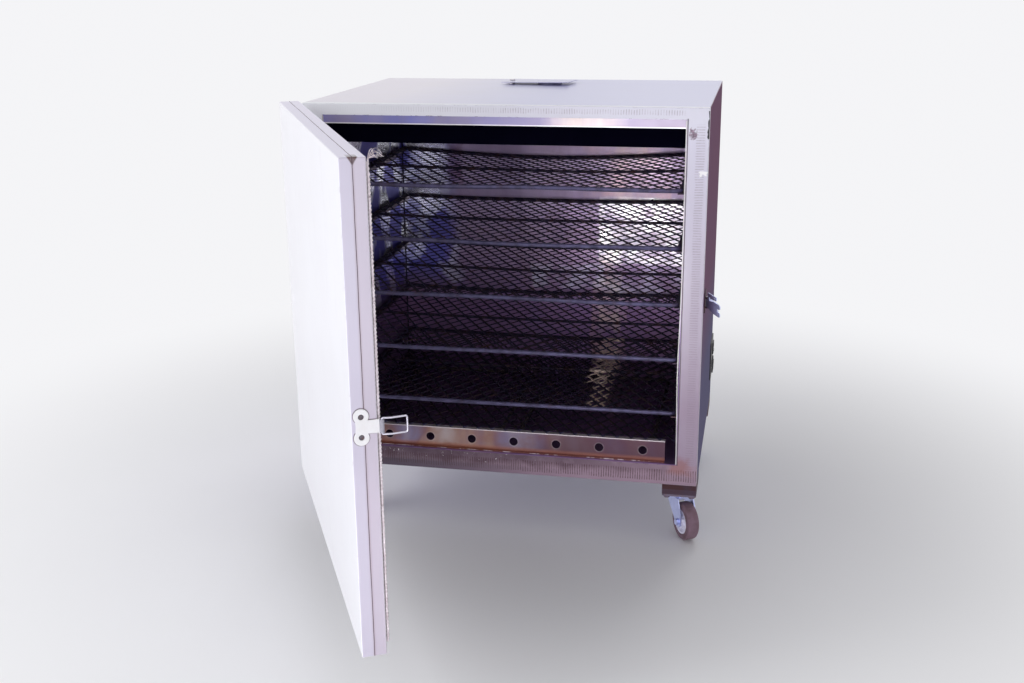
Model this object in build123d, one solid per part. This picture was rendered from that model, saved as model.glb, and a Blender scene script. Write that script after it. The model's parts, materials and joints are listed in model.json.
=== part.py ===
from build123d import *
import math
import os

# A free-standing drying oven on four swivel casters. The door hangs on its left front edge and stands open.
# Millimetres. X runs to the right, Y to the back and Z up.
# The origin is on the floor, under the middle of the cabinet.

# Cabinet
body_width = 760.0
body_depth = 562.0
body_height = 722.0
casing_sheet = 1.5
casing_bend = 1.4          # outer radius of the folded casing edges
casing_screw_x = 12.0      # screws from the back face's edges
casing_screw_z = 20.0
casing_screw_top = 14.0
frame_depth = 18.0         # front frame, front to back
stile_width = 39.0
head_band = 21.0
sill_height = 40.5

# Chamber
liner_sheet = 1.5
back_space = 52.0          # chamber's back wall to the cabinet's back face
liner_set_back = 1.0       # liner behind the front face
wool_gap = 0.3
wool_cutout = 2.0
header_height = 16.0
header_depth = 15.0
baffle_sheet = 1.5
baffle_set_back = 20.0
baffle_below_header = 37.0
baffle_depth = 80.0

# Shelves and their runners
shelf_count = 5
lowest_shelf = 139.5       # axis of the front rod above the cabinet's bottom
shelf_pitch = 107.6
shelf_rod = 8.0
cross_rod = 6.0
shelf_front = 20.0         # axis of the front rod behind the front face
shelf_back_gap = 2.0       # behind the back rod
shelf_side_gap = 4.0
net_thickness = 1.5
net_strand = 3.4
net_pitch_x = 37.0
net_pitch_y = 64.0
net_border = 7.0
runner_ledge = 13.0
runner_drop = 14.0
runner_sheet = 1.5
runner_start = 14.0
runner_end = 8.0           # before the chamber's back wall
seat_gap = 0.3             # a loose piece above its seat

# Heater space
guard_height = 42.0
guard_half_length = 317.0
guard_set_back = 13.0
guard_sheet = 1.5
guard_flange = 12.0
guard_lip = 6.0
guard_holes = 7
guard_hole_radius = 8.5
guard_hole_pitch = 85.2
guard_last_hole = 43.0     # from the strip's right end
guard_hole_height = 21.0
guard_net_post = 10.0
element_radius = 4.0
element_height = 20.0      # above the chamber's floor
element_inner = 20.0
element_outer = 60.0
element_reach = 290.0
element_bend = 22.0
element_front = 70.0
element_back = 60.0        # before the chamber's back wall
element_tail = 14.0        # behind the back sheet
element_hole_gap = 0.2

# Door
door_overlap = 5.0         # past the cabinet, above and below
door_pan = 18.5            # depth of each of the two pans
door_sheet = 1.5
door_bend = 2.0
door_gap = 6.0             # between the closed door and the front face
door_open = 62.6           # degrees, as it stands
gasket_width = 16.0
gasket_edge = 5.0
gasket_clear = 0.3
gasket_corner = 14.0

# Hinges
hinge_height = 75.0
hinge_leaf = 2.0
hinge_knuckle = 4.5
hinge_pin = 2.5
hinge_pin_side = 5.0       # pin axis outside the left face
hinge_pin_front = 9.0      # pin axis in front of the front face
hinge_reach = 35.0
hinge_heights = (120.0, 602.0)
hinge_knuckle_gap = 0.4
hinge_slot = 1.5           # between a knuckle and the other leaf
hinge_door_inset = 1.0     # door leaf behind the door's outer face
hinge_screw_offset = 25.0
hinge_screw_back = 20.0    # cabinet leaf's screws behind the front face
hinge_screw_front = 28.0   # door leaf's screws in front of it
pin_head = 1.0             # a pin's head past the pin, all round
pin_head_tall = 2.0
running_gap = 0.05
fixed_gap = 0.02

# Latch: plate and bail on the door, bracket and lever on the cabinet
latch_height = 354.0
latch_plate = 1.5
latch_lobe = 11.0
latch_lobe_offset = 16.0
latch_plate_back = 23.0    # plate's middle, from the door's inner face
latch_screw_offset = 15.0
latch_waist = 7.7
latch_knuckle = 3.5
latch_knuckle_half = 10.2
latch_knuckle_side = 4.0
latch_knuckle_in = 5.5
bail_wire = 1.3
bail_half = 12.0
bail_first = 13.0
bail_second = 23.0
bail_first_angle = 80.0
bail_second_angle = 96.0
bail_split = 0.6
bail_ear_bend = 1.6
bail_shoulder_bend = 6.0
bail_end_bend = 3.0
lever_side = 7.0           # pin axis outside the right face
lever_back = 52.0          # pin axis behind the front face
lever_angle = -65.7        # degrees from +X, as it stands
lever_length = 68.0
lever_root_half = 7.5
lever_tip_half = 11.5
lever_sheet = 1.8
lever_root = 4.5           # reach of the lever's root round its pin
lever_shoulder = 14.0
lever_spread = 24.0
lever_riser = 8.0
lever_flange_length = 42.0
lever_notch = 6.0
lever_notch_depth = 12.0
lever_pin = 2.5
tab_low = 15.0
tab_high = 22.0
tab_length = 50.0
tab_hole = 2.0
tab_hole_inset = 8.0
corner_gap = 0.1
ear_sheet = 2.0
ear_gap = 0.5
ear_reach = 5.0            # ear past the pin's axis
bracket_half = 20.0
bracket_sheet = 2.0
bracket_length = 40.0
bracket_front = 8.0        # plate before the pin's axis
bracket_corner = 5.0

# Vent
vent_x = 15.0
vent_back = 105.0          # axis before the back face
vent_radius = 26.0
vent_wall = 1.5
vent_rise = 4.0
vent_pivot_x = -68.0
vent_plate_length = 147.0
vent_plate_width = 86.0
vent_plate_sheet = 1.5
vent_plate_end = 12.0      # plate past its pivot
vent_turn = -7.0           # degrees, as it lies
vent_pin = 3.0
vent_head = 6.0
vent_head_tall = 2.0
vent_plate_corner = 4.0

# Controls on the right side sheet
control_back = 54.0        # middle before the back face
control_height = 106.0
control_length = 92.0
control_tall = 88.0
control_plate = 3.0
control_rim = 3.0
control_corner = 6.0
cutout_half = 38.0
knob_height = 88.0
knob_radius = 16.0
knob_rim = 20.0
knob_thickness = 3.4
knob_shaft = 3.0
knob_gap = 1.0
knob_edge = 0.8
knob_mark_half = 0.8
knob_mark_deep = 1.0
knob_mark_start = 6.0
thermostat_half = 17.0
thermostat_deep = 30.0
switch_height = 129.0
switch_half_length = 11.5
switch_half_tall = 10.0
switch_deep = 24.0
switch_wall = 1.0
switch_hollow = 9.0
rocker_gap = 1.0
rocker_tilt = 8.0
rocker_proud = 6.0
rocker_root = 4.0
rocker_dip = 1.2
bulb_radius = 3.0
bulb_length = 90.0
bulb_back = 50.0           # end of the bulb's tail before the chamber's back wall
bulb_height = 300.0
bulb_inset = 5.5
bulb_tail = 1.2
bulb_tail_bend = 3.5
bulb_tail_start = 8.0
bulb_end = 6.0
bulb_hole_gap = 0.3
bulb_clip = 6.0
bulb_clip_wall = 1.0
bulb_clip_first = 14.0
bulb_clip_second = 62.0

# Terminal cover and gland at the back
cover_half = 90.0
cover_low = 36.0
cover_high = 112.0
cover_deep = 32.0
cover_sheet = 1.5
terminal_half = 72.0
terminal_deep = 12.0
terminal_low = 14.0        # below the elements' axes
terminal_high = 22.0
cover_bend = 2.0
gland_x = 76.0
gland_radius = 9.0
gland_bore = 4.5
gland_length = 18.0
gland_stem_wall = 1.5
gland_neck_step = 1.0
gland_nut_tall = 6.0
gland_nut_step = 1.0
gland_cap_tall = 7.0

# Casters
wheel_radius = 37.5
wheel_width = 26.0
tyre_inner = 25.0
tyre_shoulder = 5.0
hub_inset = 1.5
hub_dish = 3.0
hub_rim = 4.0
wheel_boss = 8.0
wheel_boss_width = 29.0
axle_radius = 4.0
axle_head = 6.5
axle_head_thick = 5.0
fork_sheet = 2.5
fork_inner = 15.0          # from the wheel's middle to the inside of a cheek
caster_trail = 28.0
fork_top = 84.0
crown_radius = 22.0
crown_top = 94.6
crown_bend = 4.0
fork_bridge = 4.0
fork_bridge_front = 20.0
fork_bridge_back = 22.0
cheek_front = 22.0         # cheek's top corner before the king pin
cheek_back = 24.0
cheek_waist_x = 18.0
cheek_waist_z = 70.0
cheek_throat_x = 4.0
cheek_throat_z = 48.0
cheek_heel_z = 52.0
cheek_eye = 11.0           # cheek round the axle
cheek_bend = 5.0
king_pin = 5.0
king_head = 8.0
king_head_low = 74.5
king_head_high = 79.6
caster_height = 100.0
caster_plate = 5.0
caster_plate_depth = 86.0
caster_plate_corner = 5.0
bracket_height = 22.0
bracket_width = 66.0
bracket_depth = 90.0
bracket_wall = 3.0
caster_front = 50.0        # king pin behind the front face, and before the back
caster_bolt_x = 24.0
caster_bolt_y = 34.0
caster_bolt_head = 6.0
caster_bolt_tall = 5.0
caster_places = {
    "front_right": (1, -1, -60.0),
    "front_left": (-1, -1, -104.0),
    "back_right": (1, 1, -110.0),
    "back_left": (-1, 1, -78.0),
}

screw_head = 4.0
screw_rise = 2.4

# Places worked out from the sizes above
half_width = body_width / 2
front = -body_depth / 2
back = body_depth / 2
base = caster_height + bracket_height
top = base + body_height
opening_half = half_width - stile_width
opening_low = base + sill_height
opening_high = top - head_band
chamber_half = opening_half - liner_sheet
chamber_low = opening_low + liner_sheet
chamber_high = opening_high - liner_sheet
chamber_back = back - back_space
header_low = opening_high - header_height
baffle_low = header_low - baffle_below_header
casing_start = front + frame_depth
door_thickness = 2 * door_pan
door_inner = front - door_gap
door_outer = door_inner - door_thickness
door_low = base - door_overlap
door_high = top + door_overlap
pin_x = -half_width - hinge_pin_side
pin_y = front - hinge_pin_front
latch_z = base + latch_height
knuckle_x = half_width + latch_knuckle_side
knuckle_y = door_inner + latch_knuckle_in
control_y = back - control_back
element_z = chamber_low + element_height
vent_y = back - vent_back
bulb_y = chamber_back - bulb_back - bulb_length
hinge_door_screw_y = front - hinge_screw_front


def block(x_low, x_high, y_low, y_high, z_low, z_high):
    place = Pos((x_low + x_high) / 2, (y_low + y_high) / 2, (z_low + z_high) / 2)
    return place * Box(x_high - x_low, y_high - y_low, z_high - z_low)


def rod(start, end, radius):
    along = Vector(*end) - Vector(*start)
    return Plane(origin=start, z_dir=along) * Cylinder(
        radius, along.length, align=(Align.CENTER, Align.CENTER, Align.MIN)
    )


def upright(x, y, z_low, z_high, radius):
    return rod((x, y, z_low), (x, y, z_high), radius)


def group(parts):
    return Compound([solid for part in parts for solid in part.solids()])


def swing(shape):
    # turns a piece of the closed door to where the door stands
    return shape.rotate(Axis((pin_x, pin_y, 0), (0, 0, 1)), -door_open)


def hex_head(x, y, z_low, thickness, radius):
    return Pos(x, y, z_low) * extrude(RegularPolygon(radius, 6), thickness)


def net(x_half, y_low, y_high, z_low):
    # expanded metal as one holed face: diamonds in staggered rows, longer from front to back
    middle = (y_low + y_high) / 2
    slant = math.hypot(net_pitch_x, net_pitch_y) / 2
    half_x = net_pitch_x / 2 - net_strand * slant / net_pitch_y
    half_y = net_pitch_y / 2 - net_strand * slant / net_pitch_x
    outer = Wire.make_polygon(
        [(-x_half, y_low, z_low), (x_half, y_low, z_low), (x_half, y_high, z_low), (-x_half, y_high, z_low)]
    )
    columns = math.ceil(2 * x_half / net_pitch_x) * 2
    rows = math.ceil((y_high - y_low) / net_pitch_y) * 2
    gaps = []
    for column in range(-columns, columns + 1):
        for row in range(-rows, rows + 1):
            x = column * net_pitch_x / 2
            y = middle + row * net_pitch_y / 2
            inside_x = abs(x) + half_x <= x_half - net_border
            inside_y = abs(y - middle) + half_y <= (y_high - y_low) / 2 - net_border
            if (column + row) % 2 == 0 and inside_x and inside_y:
                gaps.append(
                    Wire.make_polygon(
                        [
                            (x - half_x, y, z_low),
                            (x, y - half_y, z_low),
                            (x + half_x, y, z_low),
                            (x, y + half_y, z_low),
                        ]
                    )
                )
    return extrude(Face(outer, gaps), net_thickness, dir=(0, 0, 1))


# Casing and front frame


def front_frame():
    end = front + frame_depth
    ring = block(-half_width, half_width, front, end, base, top)
    ring -= block(-opening_half, opening_half, front - 1, end + 1, opening_low, opening_high)
    hollow = block(
        -half_width + casing_sheet,
        half_width - casing_sheet,
        front + casing_sheet,
        end + 1,
        base + casing_sheet,
        top - casing_sheet,
    )
    hollow -= block(
        -opening_half - casing_sheet,
        opening_half + casing_sheet,
        front - 1,
        end + 2,
        opening_low - casing_sheet,
        opening_high + casing_sheet,
    )
    ring -= hollow
    rim = [
        edge
        for edge in ring.edges()
        if abs(edge.center().Y - front) < 0.01
        and (
            abs(abs(edge.center().X) - half_width) < 0.01
            or abs(edge.center().Z - base) < 0.01
            or abs(edge.center().Z - top) < 0.01
        )
    ]
    corners = [
        edge
        for edge in ring.edges().filter_by(Axis.Y)
        if abs(abs(edge.center().X) - half_width) < 0.01
        and min(abs(edge.center().Z - base), abs(edge.center().Z - top)) < 0.01
    ]
    return fillet(rim + corners, casing_bend)


def casing_top():
    sheet = block(-half_width, half_width, casing_start, back, top - casing_sheet, top)
    sheet -= upright(vent_x, vent_y, top - 2 * casing_sheet, top + 1, vent_radius + fixed_gap)
    long_edges = [
        edge
        for edge in sheet.edges().filter_by(Axis.Y)
        if edge.center().Z > top - 0.01 and abs(edge.center().X) > half_width - 1
    ]
    return fillet(long_edges, casing_bend)


def casing_side(side):
    outer = side * half_width
    inner = side * (half_width - casing_sheet)
    sheet = block(
        min(outer, inner),
        max(outer, inner),
        casing_start,
        back - casing_sheet,
        base + casing_sheet,
        top - casing_sheet,
    )
    if side > 0:
        sheet -= block(
            inner - 1,
            outer + 1,
            control_y - cutout_half,
            control_y + cutout_half,
            base + control_height - cutout_half,
            base + control_height + cutout_half,
        )
    return sheet


def element_holes(y_low, y_high, radius):
    return [
        rod((side * x, y_low, element_z), (side * x, y_high, element_z), radius)
        for side in (-1, 1)
        for x in (element_inner, element_outer)
    ]


def casing_back():
    sheet = block(
        -half_width, half_width, back - casing_sheet, back, base + casing_sheet, top - casing_sheet
    )
    for hole in element_holes(back - 2 * casing_sheet, back + 1, element_radius + element_hole_gap):
        sheet -= hole
    return sheet


def casing_bottom():
    return block(-half_width, half_width, casing_start, back, base, base + casing_sheet)


def casing_screws():
    heads = []
    for z in (base + casing_screw_z, base + body_height / 2, top - casing_screw_z):
        for x in (-half_width + casing_screw_x, half_width - casing_screw_x):
            heads.append(rod((x, back, z), (x, back + screw_rise, z), screw_head))
    z_upper = top - casing_screw_top
    for x in (-half_width / 3, half_width / 3):
        heads.append(rod((x, back, z_upper), (x, back + screw_rise, z_upper), screw_head))
    x_left = -half_width - hinge_leaf
    y_left = front + hinge_screw_back
    for place in hinge_heights:
        for z in (-hinge_screw_offset, hinge_screw_offset):
            start = (x_left, y_left, base + place + z)
            heads.append(rod(start, (x_left - screw_rise, y_left, base + place + z), screw_head))
    return group(heads)


# Chamber


def header_strip():
    y = front + liner_set_back
    face = block(-chamber_half, chamber_half, y, y + liner_sheet, header_low, opening_high)
    lip = block(-chamber_half, chamber_half, y, y + header_depth, header_low, header_low + liner_sheet)
    return face + lip


def liner_floor():
    y = front + liner_set_back
    return block(-opening_half, opening_half, y, chamber_back, opening_low, chamber_low)


def liner_ceiling():
    y = front + liner_set_back + header_depth
    sheet = block(-opening_half, opening_half, y, chamber_back, chamber_high, opening_high)
    return sheet - upright(vent_x, vent_y, chamber_high - 1, opening_high + 1, vent_radius + fixed_gap)


def liner_wall(side):
    outer = side * opening_half
    inner = side * chamber_half
    y = front + liner_set_back
    wall = block(min(outer, inner), max(outer, inner), y, chamber_back, chamber_low, chamber_high)
    if side > 0:
        tail_y = bulb_y + bulb_length
        z = base + bulb_height
        wall -= rod((inner - 1, tail_y, z), (outer + 1, tail_y, z), bulb_tail + bulb_hole_gap)
    return wall


def liner_back():
    wall = block(
        -opening_half, opening_half, chamber_back, chamber_back + liner_sheet, opening_low, opening_high
    )
    for hole in element_holes(chamber_back - 1, chamber_back + 5, element_radius + element_hole_gap):
        wall -= hole
    return wall


def insulation():
    gap = wool_gap
    outer = half_width - casing_sheet - gap
    inner = opening_half + gap
    y_low = casing_start + gap
    y_high = back - casing_sheet - gap
    z_low = base + casing_sheet + gap
    z_high = top - casing_sheet - gap
    left = block(-outer, -inner, y_low, y_high, z_low, z_high)
    right = block(inner, outer, y_low, y_high, z_low, z_high)
    room = cutout_half + wool_cutout
    z_middle = base + control_height
    right -= block(
        inner + wool_cutout,
        outer + 1,
        control_y - room,
        control_y + room,
        z_middle - room,
        z_middle + room,
    )
    over = block(-inner + gap, inner - gap, y_low, y_high, opening_high + gap, z_high)
    over -= upright(vent_x, vent_y, opening_high - 1, top, vent_radius + gap)
    under = block(-inner + gap, inner - gap, y_low, y_high, z_low, opening_low - gap)
    behind = block(
        -inner + gap, inner - gap, chamber_back + liner_sheet + gap, y_high, opening_low, opening_high
    )
    for hole in element_holes(chamber_back, back, element_radius + gap):
        behind -= hole
    return group([left, right, over, under, behind])


def ceiling_baffle():
    start = front + baffle_set_back
    reach = chamber_half - seat_gap
    lip = block(-reach, reach, start, start + baffle_sheet, baffle_low, chamber_high)
    return lip + block(-reach, reach, start, start + baffle_depth, baffle_low, baffle_low + baffle_sheet)


def shelf_levels():
    return [base + lowest_shelf + shelf_pitch * k for k in range(shelf_count)]


def shelf_runners(side):
    pieces = []
    for level in shelf_levels():
        ledge_top = level - shelf_rod / 2 - seat_gap
        y_low = front + runner_start
        y_high = chamber_back - runner_end
        wall = side * chamber_half
        ledge_end = side * (chamber_half - runner_ledge)
        leg_end = side * (chamber_half - runner_sheet)
        ledge = block(
            min(wall, ledge_end), max(wall, ledge_end), y_low, y_high, ledge_top - runner_sheet, ledge_top
        )
        leg = block(min(wall, leg_end), max(wall, leg_end), y_low, y_high, ledge_top - runner_drop, ledge_top)
        pieces.append(ledge + leg)
    return group(pieces)


def shelf(level):
    rod_half = chamber_half - shelf_side_gap - shelf_rod / 2
    y_front = front + shelf_front
    y_back = chamber_back - shelf_back_gap - shelf_rod / 2
    frame = rod((-rod_half, y_front, level), (rod_half, y_front, level), shelf_rod / 2)
    frame += rod((-rod_half, y_back, level), (rod_half, y_back, level), shelf_rod / 2)
    for x in (-rod_half, rod_half):
        frame += rod((x, y_front, level), (x, y_back, level), shelf_rod / 2)
        for y in (y_front, y_back):
            frame += Pos(x, y, level) * Sphere(shelf_rod / 2)
    middle = (y_front + y_back) / 2
    cross_level = level + (shelf_rod - cross_rod) / 2
    frame += rod((-rod_half, middle, cross_level), (rod_half, middle, cross_level), cross_rod / 2)
    mesh = net(rod_half, y_front, y_back, level + shelf_rod / 2 + fixed_gap)
    return group([frame, mesh])


# Heater space


def heater_guard_strip():
    y = front + guard_set_back
    z_top = chamber_low + guard_height
    strip = block(-guard_half_length, guard_half_length, y, y + guard_sheet, chamber_low, z_top)
    strip += block(
        -guard_half_length, guard_half_length, y, y + guard_flange, z_top - guard_sheet, z_top
    )
    strip += block(
        -guard_half_length,
        guard_half_length,
        y - guard_lip,
        y + guard_sheet,
        chamber_low,
        chamber_low + guard_sheet,
    )
    for k in range(guard_holes):
        x = guard_half_length - guard_last_hole - guard_hole_pitch * k
        z = chamber_low + guard_hole_height
        strip -= rod((x, y - 1, z), (x, y + guard_sheet + 1, z), guard_hole_radius)
    return strip


def heater_guard_net():
    z = chamber_low + guard_height
    y_low = front + guard_set_back + guard_sheet
    y_high = chamber_back - shelf_side_gap
    x_half = chamber_half - shelf_side_gap
    mesh = net(x_half, y_low, y_high, z + fixed_gap)
    posts = [
        block(
            min(side * x_half, side * (x_half - guard_net_post)),
            max(side * x_half, side * (x_half - guard_net_post)),
            y_high - guard_net_post,
            y_high,
            chamber_low,
            z,
        )
        for side in (-1, 1)
    ]
    return group([mesh] + posts)


def heating_elements():
    tubes = []
    for side in (-1, 1):
        inner = side * element_inner
        outer = side * element_outer
        reach = side * element_reach
        path = FilletPolyline(
            (inner, back + element_tail, element_z),
            (inner, front + element_front, element_z),
            (reach, front + element_front, element_z),
            (reach, chamber_back - element_back, element_z),
            (outer, chamber_back - element_back, element_z),
            (outer, back + element_tail, element_z),
            radius=element_bend,
        )
        section = Plane(origin=path @ 0, z_dir=path % 0) * Circle(element_radius)
        tubes.append(sweep(section, path=path))
    return group(tubes)


# Door, built closed and then swung open


def door_pan_shell(y_face, y_seam):
    direction = 1 if y_seam > y_face else -1
    pan = block(-half_width, half_width, min(y_face, y_seam), max(y_face, y_seam), door_low, door_high)
    rim = [
        edge
        for edge in pan.edges()
        if abs(edge.center().Y - y_face) < 0.01 or edge in pan.edges().filter_by(Axis.Y)
    ]
    pan = fillet(rim, door_bend)
    inside = y_face + direction * door_sheet
    outside = y_seam + direction
    pan -= block(
        -half_width + door_sheet,
        half_width - door_sheet,
        min(inside, outside),
        max(inside, outside),
        door_low + door_sheet,
        door_high - door_sheet,
    )
    return pan


def door_outer_pan():
    return door_pan_shell(door_outer, door_outer + door_pan)


def door_inner_pan():
    return door_pan_shell(door_inner, door_inner - door_pan)


def door_insulation():
    gap = door_sheet + wool_gap
    return block(
        -half_width + gap,
        half_width - gap,
        door_outer + gap,
        door_inner - gap,
        door_low + gap,
        door_high - gap,
    )


def door_gasket():
    outer_x = half_width - gasket_edge
    outer_low = base + gasket_edge
    outer_high = top - gasket_edge
    y_high = front - gasket_clear
    ring = block(-outer_x, outer_x, door_inner, y_high, outer_low, outer_high)
    ring = fillet(ring.edges().filter_by(Axis.Y), gasket_corner)
    ring -= block(
        -outer_x + gasket_width,
        outer_x - gasket_width,
        door_inner - 1,
        y_high + 1,
        outer_low + gasket_width,
        outer_high - gasket_width,
    )
    return ring


def hinge_knuckle_spans(z_middle):
    third = hinge_height / 3
    low = z_middle - hinge_height / 2
    return [(low + third * k, low + third * (k + 1)) for k in range(3)]


def hinge_leaf_side(z_middle, cabinet):
    # the cabinet's leaf holds the outer knuckles, the door's leaf the middle one
    spans = hinge_knuckle_spans(z_middle)
    z_low = z_middle - hinge_height / 2
    z_high = z_middle + hinge_height / 2
    x_low = -half_width - hinge_leaf
    clear = hinge_knuckle + hinge_slot
    if cabinet:
        leaf = block(x_low, -half_width, pin_y + clear, front + hinge_reach, z_low, z_high)
        own = [(spans[0][0], spans[0][1]), (spans[2][0], spans[2][1])]
        tongue = (pin_y, pin_y + clear)
        bore = hinge_pin + fixed_gap
    else:
        leaf = block(x_low, -half_width, door_outer + hinge_door_inset, pin_y - clear, z_low, z_high)
        own = [(spans[1][0] + hinge_knuckle_gap, spans[1][1] - hinge_knuckle_gap)]
        tongue = (pin_y - clear, pin_y)
        bore = hinge_pin + running_gap
    for low, high in own:
        leaf += block(x_low, -half_width, tongue[0], tongue[1], low, high)
        leaf += upright(pin_x, pin_y, low, high, hinge_knuckle)
    return leaf - upright(pin_x, pin_y, z_low - 1, z_high + 1, bore)


def hinge_leaves(cabinet):
    return group([hinge_leaf_side(base + place, cabinet) for place in hinge_heights])


def hinge_pins():
    reach = lever_root_half + ear_gap + ear_sheet
    x = half_width + lever_side
    y = front + lever_back
    pins = [upright(x, y, latch_z - reach, latch_z + reach, lever_pin)]
    pins[0] += upright(x, y, latch_z + reach, latch_z + reach + pin_head_tall, lever_pin + pin_head)
    for place in hinge_heights:
        z_low = base + place - hinge_height / 2
        z_high = z_low + hinge_height
        pin = upright(pin_x, pin_y, z_low, z_high, hinge_pin)
        pins.append(pin + upright(pin_x, pin_y, z_high, z_high + pin_head_tall, hinge_pin + pin_head))
    return group(pins)


def latch_plate_piece():
    y = door_inner - latch_plate_back
    x_low = half_width
    x_high = half_width + latch_plate
    plate = block(x_low, x_high, y, knuckle_y, latch_z - latch_knuckle_half, latch_z + latch_knuckle_half)
    plate += block(
        x_low,
        x_high,
        y - latch_waist,
        y + latch_waist,
        latch_z - latch_lobe_offset,
        latch_z + latch_lobe_offset,
    )
    for side in (-1, 1):
        z = latch_z + side * latch_lobe_offset
        plate += rod((x_low, y, z), (x_high, y, z), latch_lobe)
    plate += upright(
        knuckle_x, knuckle_y, latch_z - latch_knuckle_half, latch_z + latch_knuckle_half, latch_knuckle
    )
    reach = 2 * latch_knuckle_half
    bore = bail_wire + running_gap
    return plate - upright(knuckle_x, knuckle_y, latch_z - reach, latch_z + reach, bore)


def door_screws():
    x = half_width + latch_plate
    y = door_inner - latch_plate_back
    heads = [
        rod((x, y, z), (x + screw_rise, y, z), screw_head)
        for z in (latch_z - latch_screw_offset, latch_z + latch_screw_offset)
    ]
    x_left = -half_width - hinge_leaf
    for place in hinge_heights:
        for z in (-hinge_screw_offset, hinge_screw_offset):
            start = (x_left, hinge_door_screw_y, base + place + z)
            end = (x_left - screw_rise, hinge_door_screw_y, base + place + z)
            heads.append(rod(start, end, screw_head))
    return group(heads)


def latch_bail():
    def at(first, second, z):
        a = math.radians(bail_first_angle)
        b = math.radians(bail_second_angle)
        x = knuckle_x + first * math.cos(a) + second * math.cos(b)
        y = knuckle_y + first * math.sin(a) + second * math.sin(b)
        return (x, y, latch_z + z)

    path = FilletPolyline(
        at(0, 0, bail_split),
        at(0, 0, bail_half),
        at(bail_first, 0, bail_half),
        at(bail_first, bail_second, bail_half),
        at(bail_first, bail_second, -bail_half),
        at(bail_first, 0, -bail_half),
        at(0, 0, -bail_half),
        at(0, 0, -bail_split),
        radius=[
            bail_ear_bend,
            bail_shoulder_bend,
            bail_end_bend,
            bail_end_bend,
            bail_shoulder_bend,
            bail_ear_bend,
        ],
    )
    section = Plane(origin=path @ 0, z_dir=path % 0) * Circle(bail_wire)
    return sweep(section, path=path)


# Latch lever on the right side sheet, drawn along +X and then turned


def lever_place(shape):
    turned = shape.rotate(Axis.Z, lever_angle)
    return Pos(half_width + lever_side, front + lever_back, latch_z) * turned


def latch_lever():
    # a folded channel: its web carries the forked tip and its flanges ride on the pin
    web_y = -lever_root
    tip = lever_length
    upper = [
        (0, lever_root_half),
        (lever_shoulder, lever_root_half),
        (lever_shoulder + lever_spread, lever_tip_half),
        (tip, lever_tip_half),
        (tip, lever_notch / 2),
        (tip - lever_notch_depth, lever_notch / 2),
    ]
    outline = upper + [(x, -z) for x, z in reversed(upper)]
    plane = Plane(origin=(0, web_y, 0), x_dir=(1, 0, 0), z_dir=(0, -1, 0))
    face = plane * make_face(Polyline(*outline, close=True))
    web = extrude(face, -lever_sheet, dir=(0, -1, 0))
    prong = (lever_tip_half - lever_notch / 2) / 2 - corner_gap
    web = fillet([e for e in web.edges().filter_by(Axis.Y) if e.center().X > tip - 1], prong)
    lever = web
    for side in (-1, 1):
        outer = side * lever_root_half
        inner = side * (lever_root_half - lever_sheet)
        low = min(outer, inner)
        lever += block(0, lever_flange_length, web_y, lever_root, low, low + lever_sheet)
        lever += upright(0, 0, low, low + lever_sheet, lever_root)
    riser = block(lever_riser, 2 * lever_riser, web_y, web_y + lever_sheet, 0, tab_high)
    tab = block(lever_riser, tab_length, web_y, web_y + lever_sheet, tab_low, tab_high)
    tab_corner = (tab_high - tab_low) / 2 - corner_gap
    tab = fillet([e for e in tab.edges().filter_by(Axis.Y) if e.center().X > tab_length - 1], tab_corner)
    hole_x = tab_length - tab_hole_inset
    hole_z = (tab_low + tab_high) / 2
    tab -= rod((hole_x, web_y - 1, hole_z), (hole_x, web_y + lever_sheet + 1, hole_z), tab_hole)
    lever += riser
    lever += tab
    lever -= upright(0, 0, -2 * lever_root_half, 2 * lever_root_half, lever_pin + running_gap)
    return lever_place(lever)


def lever_bracket():
    x_wall = half_width
    plate = block(
        x_wall,
        x_wall + bracket_sheet,
        front + lever_back - bracket_front,
        front + lever_back - bracket_front + bracket_length,
        latch_z - bracket_half,
        latch_z + bracket_half,
    )
    plate = fillet(plate.edges().filter_by(Axis.X), bracket_corner)
    pin_at = x_wall + lever_side
    y = front + lever_back
    for side in (-1, 1):
        z_inner = latch_z + side * (lever_root_half + ear_gap)
        z_outer = z_inner + side * ear_sheet
        low = min(z_inner, z_outer)
        high = max(z_inner, z_outer)
        ear = block(x_wall, pin_at, y - ear_reach, y + ear_reach, low, high)
        ear += upright(pin_at, y, low, high, ear_reach)
        plate += ear
    reach = lever_root_half + ear_gap + ear_sheet
    plate -= upright(pin_at, y, latch_z - 2 * reach, latch_z + 2 * reach, lever_pin + fixed_gap)
    return plate


# Vent on top


def vent_collar():
    outer = upright(vent_x, vent_y, chamber_high, top + vent_rise, vent_radius)
    return outer - upright(vent_x, vent_y, chamber_high - 1, top + vent_rise + 1, vent_radius - vent_wall)


def vent_pivot():
    seat = top + vent_rise
    post = upright(vent_pivot_x, vent_y, top, seat, vent_head)
    post += upright(vent_pivot_x, vent_y, seat, seat + vent_plate_sheet + 2 * seat_gap, vent_pin)
    head = seat + vent_plate_sheet + 2 * seat_gap
    return post + upright(vent_pivot_x, vent_y, head, head + vent_head_tall, vent_head)


def vent_plate():
    x_low = vent_pivot_x - vent_plate_end
    z_low = top + vent_rise + seat_gap
    half = vent_plate_width / 2
    plate = block(
        x_low, x_low + vent_plate_length, vent_y - half, vent_y + half, z_low, z_low + vent_plate_sheet
    )
    plate = fillet(plate.edges().filter_by(Axis.Z), vent_plate_corner)
    plate -= upright(vent_pivot_x, vent_y, z_low - 1, z_low + 2 * vent_plate_sheet, vent_pin + running_gap)
    return plate.rotate(Axis((vent_pivot_x, vent_y, 0), (0, 0, 1)), vent_turn)


# Controls


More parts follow.
